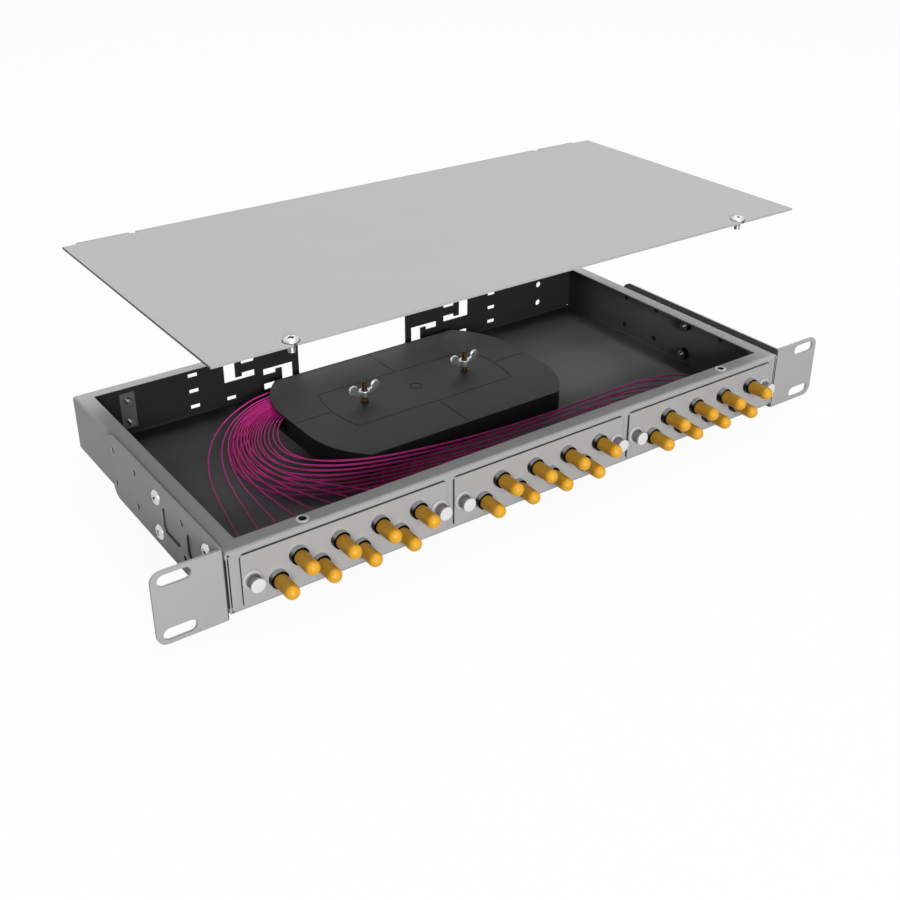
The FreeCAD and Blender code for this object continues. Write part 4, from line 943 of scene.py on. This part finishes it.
class PANEL_OT_stage(bpy.types.Operator):
    """Camera, lamps, world and floor"""

    bl_idname = "patch_panel.stage"
    bl_label = "Stage"

    def execute(self, context):
        stage = context.scene.panel_stage
        self.camera(context, stage)
        self.lamps(context, stage)
        self.world(context, stage)
        self.floor(context)
        context.scene.view_settings.view_transform = "Standard"
        return {"FINISHED"}

    def camera(self, context, stage):
        data = bpy.data.cameras.new("camera")
        data.lens = stage.lens
        data.sensor_width = 36.0
        data.sensor_fit = "HORIZONTAL"
        data.shift_y = stage.shift
        data.clip_start = 0.01
        data.clip_end = 100.0
        item = in_scene("camera", data)
        item.location = stage.camera_place
        look = Euler((math.pi / 2 - stage.elevation, 0.0, -stage.azimuth)).to_matrix()
        item.rotation_euler = (look @ Euler((0.0, 0.0, stage.roll)).to_matrix()).to_euler()
        context.scene.camera = item

    def lamps(self, context, stage):
        lamps = (
            ("key", (0.3, 0.5, 2.6), 1.0, stage.key_power),
            ("front", (-0.8, -2.42, 0.78), 0.9, stage.front_power),
        )
        for name, place, size, power in lamps:
            data = bpy.data.lights.new(name, "AREA")
            data.shape = "SQUARE"
            data.size = size
            data.energy = power
            item = in_scene(name, data)
            item.location = place
            target = np.array([0.0, 0.1, 0.02])
            away = np.array(place) - target
            turn = math.atan2(away[0], -away[1])
            drop = math.atan2(float(np.hypot(away[0], away[1])), away[2])
            item.rotation_euler = (drop, 0.0, turn)

    def world(self, context, stage):
        world = bpy.data.worlds.new("studio")
        context.scene.world = world
        world.use_nodes = True
        wiring = Wiring(world.node_tree)
        seen = wiring.camera_like()
        light = wiring.add("ShaderNodeBackground", None, {"Color": (1, 1, 1), "Strength": stage.fill})
        white = wiring.add("ShaderNodeBackground", None, {"Color": (1, 1, 1), "Strength": 1.0})
        mixed = wiring.add("ShaderNodeMixShader", None, {0: seen, 1: light, 2: white})
        wiring.close("ShaderNodeOutputWorld", mixed)

    def floor(self, context):
        level = CAD_BOX[0].z - FLOOR_GAP
        corners = [
            (x * FLOOR_HALF, y * FLOOR_HALF, level) for x, y in ((-1, -1), (1, -1), (1, 1), (-1, 1))
        ]
        mesh = bpy.data.meshes.new("floor")
        mesh.from_pydata(corners, [], [(0, 1, 2, 3)])
        mesh.update()
        item = in_scene("floor", mesh)
        material = bpy.data.materials.new("floor")
        material.use_nodes = True
        wiring = Wiring(material.node_tree)
        seen = wiring.camera_like()
        bounce = wiring.add("ShaderNodeBsdfDiffuse", None, {"Color": (0.32, 0.32, 0.32)})
        pale = wiring.add("ShaderNodeBsdfDiffuse", None, {"Color": (0.9, 0.9, 0.9)})
        white = wiring.add("ShaderNodeEmission", None, {"Color": (1, 1, 1), "Strength": 1.0})
        shown = wiring.add("ShaderNodeMixShader", None, {0: 0.95, 1: pale, 2: white})
        mixed = wiring.add("ShaderNodeMixShader", None, {0: seen, 1: bounce, 2: shown})
        wiring.close("ShaderNodeOutputMaterial", mixed)
        mesh.materials.append(material)


class PANEL_OT_pigtails(bpy.types.Operator):
    """The 24 pigtails from the cassette's mouth to the plugs"""

    bl_idname = "patch_panel.pigtails"
    bl_label = "Pigtails"

    def execute(self, context):
        diameter = context.scene.panel_sizes.fibre
        nodes = ("pigtails_left", "pigtails_centre", "pigtails_right")
        for number, (plate, index, x, z) in enumerate(ports(), start=1):
            points = fibre_route(plate, index, x, z)
            name = f"pigtail_{number:02d}"
            curve = bpy.data.curves.new(name, "CURVE")
            curve.dimensions = "3D"
            spline = curve.splines.new("NURBS")
            spline.points.add(len(points) - 1)
            spline.points.foreach_set("co", np.column_stack([points, np.ones(len(points))]).reshape(-1))
            spline.order_u = 3
            spline.use_endpoint_u = True
            curve.resolution_u = 8
            item = in_scene(name, curve)
            length = spline_length(item)
            curve.bevel_depth = diameter / 2
            curve.bevel_resolution = 2
            curve.use_fill_caps = True
            curve.materials.append(finish_for("fibre_jacket"))
            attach(item, "chassis")
            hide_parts(nodes[plate])
        return {"FINISHED"}


class PANEL_OT_screws(bpy.types.Operator):
    """Screws of the brackets, the strength plate and the cover"""

    bl_idname = "patch_panel.screws"
    bl_label = "Screws"

    def execute(self, context):
        sizes = context.scene.panel_sizes
        pitch, recess, columns = sizes.fine_pitch, sizes.recess_depth, sizes.columns

        # The bracket screws' shanks inside the tray get painted shade.
        screw = pan_screw(*BRACKET_SCREW, pitch * 1.15, recess * 1.1, columns, 0.7)
        shape = Shape()
        for side, y, z in side_places(BRACKET_SCREW_YS):
            lean = 0.4 + 23 * (y + z)
            turn = (0.0, math.cos(lean), math.sin(lean))
            shape.put(screw, (side * BRACKET_FACE, y, z), (side, 0, 0), turn)
        detailed("bracket_screws", shape, "zinc_steel")

        screw = pan_screw(*REAR_SCREW, pitch, recess, columns)
        shape = Shape()
        for z in REAR_SCREW_ZS:
            lean = 0.3 + 40 * z
            shape.put(screw, (REAR_SCREW_X, TRAY[1].y, z), Y_AXIS, (math.cos(lean), 0.0, math.sin(lean)))
        detailed("rear_screws", shape, "zinc_steel")

        screw = pan_screw(*COVER_SCREW, pitch, recess, columns)
        for side, node in ((-1, "cover_screw_left"), (1, "cover_screw_right")):
            lean = 0.5 + 0.3 * side
            place = (side * COVER_SCREW_X, COVER_SCREW_Y, COVER[1].z)
            shape = Shape().put(screw, place, Z_AXIS, (math.cos(lean), math.sin(lean), 0.0))
            detailed(node, shape, "zinc_steel", node)
        return {"FINISHED"}


class PANEL_OT_nuts(bpy.types.Operator):
    """Nuts of the brackets and couplers, discs of painted shade in the spare holes, rivet nuts in the front
    flange
    """

    bl_idname = "patch_panel.nuts"
    bl_label = "Nuts"

    def execute(self, context):
        wall = TRAY[1].x - TRAY_SHEET
        nut = hexagon_nut(*BRACKET_NUT)
        shape = Shape()
        for side, y, z in side_places(BRACKET_SCREW_YS):
            shape.put(nut, (side * wall, y, z), (-side, 0, 0), Z_AXIS)
        detailed("bracket_nuts", shape, "dark_steel")

        # Discs of painted shade, nearly black, that stand for the shade in the spare holes of the tray's
        # sides.
        shade_disc = [(0.0, 0.0), (0.00205, 0.0), (0.00205, 0.0004), (0.0, 0.0004)]
        shade_disc = lathe(softened(shade_disc, 0.0001, 3), 24)
        shape = Shape()
        for side, y, z in side_places(SPARE_HOLE_YS):
            shape.put(shade_disc, (side * wall, y, z), (side, 0, 0), Z_AXIS)
        piece("spare_hole_shade_discs", shape, "blank_paint")

        nuts = copies(hexagon_nut(*COUPLER_NUT), port_places(), Z_AXIS)
        detailed("coupler_nuts", nuts, "nickel_plate")

        section = [
            (0.00205, -0.0065), (0.003, -0.0065), (0.003, -0.0036), (0.0036, -0.0012), (0.003, -0.0012),
            (0.003, 0.0), (0.0036, 0.0), (0.0036, 0.00037), (0.00205, 0.00037),
        ]
        section = softened(section, 0.00018, 4, closed=True)
        # The hole is painted shade.
        hole = section[:, :1] < 0.0022
        rivet = lathe(section, context.scene.panel_sizes.columns, ring=True, shade=hole)
        shape = Shape()
        for side in (-1, 1):
            shape.put(rivet, (side * COVER_SCREW_X, COVER_SCREW_Y, TRAY[1].z), Z_AXIS, X_AXIS)
        detailed("rivet_nuts", shape, "pale_zinc")
        return {"FINISHED"}


class PANEL_OT_couplers(bpy.types.Operator):
    """The couplers: chamfered collar, barrels and threaded middle"""

    bl_idname = "patch_panel.couplers"
    bl_label = "Couplers"

    def execute(self, context):
        sizes = context.scene.panel_sizes
        front = [
            (0.0013, -0.0145), (0.0029, -0.0145), (0.0032, -0.0142), (0.0032, -0.0045), (0.0047, -0.0045),
            (0.0047, -0.005), (0.00478, -0.005), (0.0052, -0.0046), (0.0052, -0.0015), (0.0013, -0.0015),
        ]
        rear = [
            (0.0013, 0.0079), (0.0032, 0.0079), (0.0032, 0.0127), (0.0029, 0.013), (0.0016, 0.013),
            (0.0013, 0.0127),
        ]
        front = softened(front, 0.00012, 3, closed=True)
        # Painted shade: the recess round the cap is black, and the collar's side darkens towards the lower
        # left, a painted dark reflection.
        recess = (front[:, 1] > -0.0142) & (front[:, 1] < -0.00415) & (front[:, 0] < 0.00515)
        angles = around(sizes.columns)
        low = np.clip(np.cos(angles - 2.3) * 2.6 + 0.1, 0, 0.97) * (front[:, :1] > 0.005)
        coupler = Shape().skin(
            turned(front[:, 0], front[:, 1], angles), ring=True, shade=np.maximum(recess[:, None], low)
        )
        barrel = lathe(softened(rear, 0.00012, 3, closed=True), sizes.columns // 2, ring=True)
        thread = threaded_tube(0.004, 0.0013, -0.0016, 0.008, sizes.coupler_pitch, 24)
        for part in (barrel, thread):
            coupler.put(part, (0, 0, 0), Z_AXIS, X_AXIS)
        for plate, side in enumerate(("left", "centre", "right")):
            shape = copies(coupler, port_places((plate,)), X_AXIS)
            detailed(f"couplers_{side}", shape, "nickel_plate")
        return {"FINISHED"}


class PANEL_OT_plugs(bpy.types.Operator):
    """The plugs on the pigtails: knurled sleeve and ribbed boot"""

    bl_idname = "patch_panel.plugs"
    bl_label = "Plugs"

    def execute(self, context):
        columns = 48
        angles = around(columns)
        rows = np.array([0.0, 0.02, 0.12, 0.16, 0.2, 0.8, 0.84, 0.88, 0.98, 1.0])
        heights = PLUG_START + rows * PLUG_LENGTH
        ease = np.array([0.94, 1, 1, 0.97, 1, 1, 0.97, 1, 1, 0.9])[:, None]
        knurled = np.array([0, 0, 0, 0, 1, 1, 0, 0, 0, 0])[:, None]
        cut = knurled * KNURL_DEPTH * (0.5 + 0.5 * np.cos(KNURLS * angles))[None, :]
        plug = Shape().skin(turned(PLUG_RADIUS * ease - cut, heights, angles))

        along = np.linspace(0, 1, 45)
        taper = BOOT_RADIUS + (BOOT_TIP_RADIUS - BOOT_RADIUS) * along
        rib = np.clip(np.sin(along * 2 * np.pi * BOOT_RIBS) * 3, -1, 1) * (along > 0.1) * (along < 0.85)
        boot = np.minimum(taper, taper - RIB_DEPTH + RIB_DEPTH * rib)
        plug.skin(turned(boot, BOOT_START + along * (BOOT_END / 1000 - BOOT_START), around(20)))

        ferrule = [(0.0, 0.0), (0.0010, 0.0), (0.00125, 0.00025), (0.00125, 0.013), (0.0, 0.013)]
        plug.put(lathe(softened(ferrule, 0.0001, 3), 20), (0, 0, 0), Z_AXIS, X_AXIS)
        plugs = copies(plug, port_places(), X_AXIS)
        detailed("pigtail_plugs", plugs, "plug_plastic")
        return {"FINISHED"}


class PANEL_OT_latches(bpy.types.Operator):
    """The push latches: split sleeves with round flanges, and their plungers"""

    bl_idname = "patch_panel.latches"
    bl_label = "Latches"

    def execute(self, context):
        columns = context.scene.panel_sizes.columns
        flange = [
            (0.0019, -0.0024), (0.0038, -0.0024), (0.0042, -0.0031), (0.0050, -0.0031), (0.0057, -0.0025),
            (0.0057, -0.0015), (0.0019, -0.0015),
        ]
        flange = softened(flange, 0.0004, 6, closed=True)
        # The inside of the flange gets painted shade.
        inner = flange[:, :1] < 0.0041
        sleeve = lathe(flange, columns, ring=True, shade=inner)
        body = softened(
            [(0.0019, -0.0016), (0.00295, -0.0016), (0.00295, 0.00125), (0.0034, 0.00135), (0.00295, 0.0046),
             (0.0019, 0.0046)], 0.0002, 3, closed=True,
        )
        gap = 0.2
        for quarter in range(4):
            first = quarter * math.pi / 2 + gap
            sleeve.put(split_sector(body, first, first + math.pi / 2 - 2 * gap), (0, 0, 0), Z_AXIS, X_AXIS)

        plunger = [
            (0.0, -0.009), (0.0039, -0.009), (0.0042, -0.0087), (0.0042, -0.0073), (0.0035, -0.0066),
            (0.0028, -0.0064), (0.0028, -0.0031), (0.00185, -0.0031), (0.00185, 0.0043), (0.0009, 0.0053),
            (0.0, 0.0053),
        ]
        plunger = softened(plunger, 0.0003, 5)
        # The plunger's sides get painted shade; its front face keeps the full white.
        side = np.clip((plunger[:, 1] + 0.0089) / 0.0003, 0, 1)
        plunger = lathe(plunger, columns, shade=side[:, None])
        places = [(middle + side * LATCH_OFFSET, 0.0, PLATE_Z) for middle in PLATE_X for side in (-1, 1)]
        for number, place in enumerate(places, start=1):
            node = f"plunger_{number}"
            detailed(node, copies(plunger, [place], X_AXIS), "latch_white", node)
        detailed("latch_sleeves", copies(sleeve, places, X_AXIS), "latch_grey")
        return {"FINISHED"}


class PANEL_OT_studs(bpy.types.Operator):
    """The cassette's threaded studs and the wing nuts on them"""

    bl_idname = "patch_panel.studs"
    bl_label = "Studs and wing nuts"

    def execute(self, context):
        sizes = context.scene.panel_sizes
        floor = TRAY[0].z + TRAY_SHEET
        foot = [(0.0, 0.0), (0.0035, 0.0), (0.0035, 0.001), (0.0019, 0.001), (0.0019, 0.004), (0.0, 0.004)]
        stud = lathe(softened(foot, 0.0002, 4), sizes.columns)
        angles = around(22)
        rows = thread_rows(STUD_THREAD_START, STUD_LENGTH, sizes.fine_pitch)
        depth = sizes.fine_pitch * 0.5
        radii = threaded(STUD_RADIUS, depth, sizes.fine_pitch, rows, angles)
        radii = np.minimum(radii, (STUD_TIP_RADIUS + (STUD_LENGTH - rows))[:, None])
        # roots: painted shade in the thread's roots.
        roots = (STUD_RADIUS - radii) / depth
        stud.skin(turned(radii, rows, angles), shade=np.clip(roots * 1.2, 0, 1))
        shape = Shape()
        for x in STUD_XS:
            shape.put(stud, (x, STUD_Y, floor), Z_AXIS, X_AXIS)
        detailed("cassette_studs", shape, "brass")

        nut = self.wing_nut(sizes.columns)
        seat = LID[1].z - LID_RING_HEIGHT + WING_NUT_LIFT
        for node, x in zip(("wing_nut_left", "wing_nut_right"), STUD_XS):
            shape = Shape().put(nut, (x, STUD_Y, seat), Z_AXIS, X_AXIS)
            detailed(node, shape, "wing_zinc", node)
        return {"FINISHED"}

    def wing_nut(self, columns):
        hub = [(0.00195, 0.0), (0.0034, 0.0), (0.0037, 0.0041), (0.0033, 0.0045), (0.00195, 0.0041)]
        hub = softened(hub, 0.0003, 5, closed=True)
        # The hub's top rim gets the painted highlight.
        rim = (hub[:, 1:] > 0.0039) & (hub[:, :1] > 0.003)
        nut = lathe(hub, columns, ring=True, shade=rim)
        for way in (-1, 1):
            grid, rim = self.wing(way)
            nut.skin(grid, shade=rim)
        return nut

    def wing(self, way):
        """A pressed wing: its middle line is a parabola from the hub up to the tip, its half width is
        the arm's or that of the round tip, whichever is more, and its section is a superellipse."""
        start, bend, tip = np.array([[0.0022, 0.0022], [0.0058, 0.0019], [0.0083, 0.0058]])
        arm_rows = 16
        t = np.linspace(0, 1, arm_rows)[:, None]
        line = (1 - t) ** 2 * start + 2 * t * (1 - t) * bend + t**2 * tip
        heading = (tip - bend) / np.linalg.norm(tip - bend)
        beyond = np.sin(np.linspace(0, np.pi / 2, 11)[1:])[:, None] * WING_TIP_RADIUS
        line = np.concatenate([line, tip + heading * beyond])
        slope = np.gradient(line, axis=0)
        slope /= np.linalg.norm(slope, axis=1, keepdims=True)
        across = np.stack([-slope[:, 1], slope[:, 0]], axis=1)
        from_tip = np.linalg.norm(line - tip, axis=1)
        round_tip = np.sqrt(np.clip(WING_TIP_RADIUS**2 - from_tip**2, 0, None))
        arm = WING_ARM * (np.arange(len(line)) < arm_rows)
        half = np.maximum(arm, round_tip)
        thick = WING_HALF_THICKNESS * np.clip(half / 0.0012, 0, 1) ** 0.6
        angles = around(20)
        wide = np.sign(np.cos(angles)) * np.abs(np.cos(angles)) ** 0.4
        deep = np.sign(np.sin(angles)) * np.abs(np.sin(angles)) ** 0.4
        x = line[:, 0:1] + across[:, 0:1] * half[:, None] * wide
        z = line[:, 1:2] + across[:, 1:2] * half[:, None] * wide
        y = thick[:, None] * deep
        grid = np.stack([way * x, y, z], axis=2)
        # The wing's edges get the painted highlight.
        rim = np.repeat((np.abs(wide) > 0.9)[None], len(grid), axis=0)
        if way < 0:
            return grid[:, ::-1], rim[:, ::-1]
        return grid, rim


class PANEL_OT_finishes(bpy.types.Operator):
    """Finishes of the pieces whose solids are shown as they are"""

    bl_idname = "patch_panel.finishes"
    bl_label = "Finishes"

    def execute(self, context):
        chosen = {
            "chassis_tray": "tray_paint",
            "bracket_left": "bracket_paint",
            "bracket_right": "bracket_paint",
            "cover": "cover_paint",
            "coupler_plate_left": "plate_paint",
            "coupler_plate_centre": "plate_paint",
            "coupler_plate_right": "plate_paint",
            "rear_nut_plate": "inside_paint",
            "cassette_base": "cassette_plastic",
            "cassette_lid": "cassette_plastic",
            "splice_holders": "holder_plastic",
            "splice_sleeves": "splice_plastic",
        }
        for number in range(1, 25):
            chosen[f"dust_cap_{number:02d}"] = "cap_amber"
        for node, slot in chosen.items():
            for place in frame["nodes"][node].material_slots:
                place.material = finish_for(slot)
        return {"FINISHED"}


class PANEL_PT_pieces(bpy.types.Panel):
    """Lists the pieces that can be made"""

    bl_label = "Patch Panel"
    bl_space_type = "VIEW_3D"
    bl_region_type = "UI"
    bl_category = "Patch Panel"

    def draw(self, context):
        for step in STEPS:
            self.layout.operator(step.bl_idname)


STEPS = (
    PANEL_OT_stage,
    PANEL_OT_pigtails,
    PANEL_OT_screws,
    PANEL_OT_nuts,
    PANEL_OT_couplers,
    PANEL_OT_plugs,
    PANEL_OT_latches,
    PANEL_OT_studs,
    PANEL_OT_finishes,
)
CLASSES = (PanelSizes, PanelColours, PanelStage, *STEPS, PANEL_PT_pieces)


def register():
    for kind in CLASSES:
        bpy.utils.register_class(kind)
    bpy.types.Scene.panel_sizes = bpy.props.PointerProperty(type=PanelSizes)
    bpy.types.Scene.panel_colours = bpy.props.PointerProperty(type=PanelColours)
    bpy.types.Scene.panel_stage = bpy.props.PointerProperty(type=PanelStage)


def unregister():
    del bpy.types.Scene.panel_stage
    del bpy.types.Scene.panel_colours
    del bpy.types.Scene.panel_sizes
    for kind in reversed(CLASSES):
        bpy.utils.unregister_class(kind)


def main():
    register()
    bpy.ops.patch_panel.stage()
    bpy.ops.patch_panel.pigtails()
    bpy.ops.patch_panel.screws()
    bpy.ops.patch_panel.nuts()
    bpy.ops.patch_panel.couplers()
    bpy.ops.patch_panel.plugs()
    bpy.ops.patch_panel.latches()
    bpy.ops.patch_panel.studs()
    bpy.ops.patch_panel.finishes()


if __name__ == "__main__":
    main()
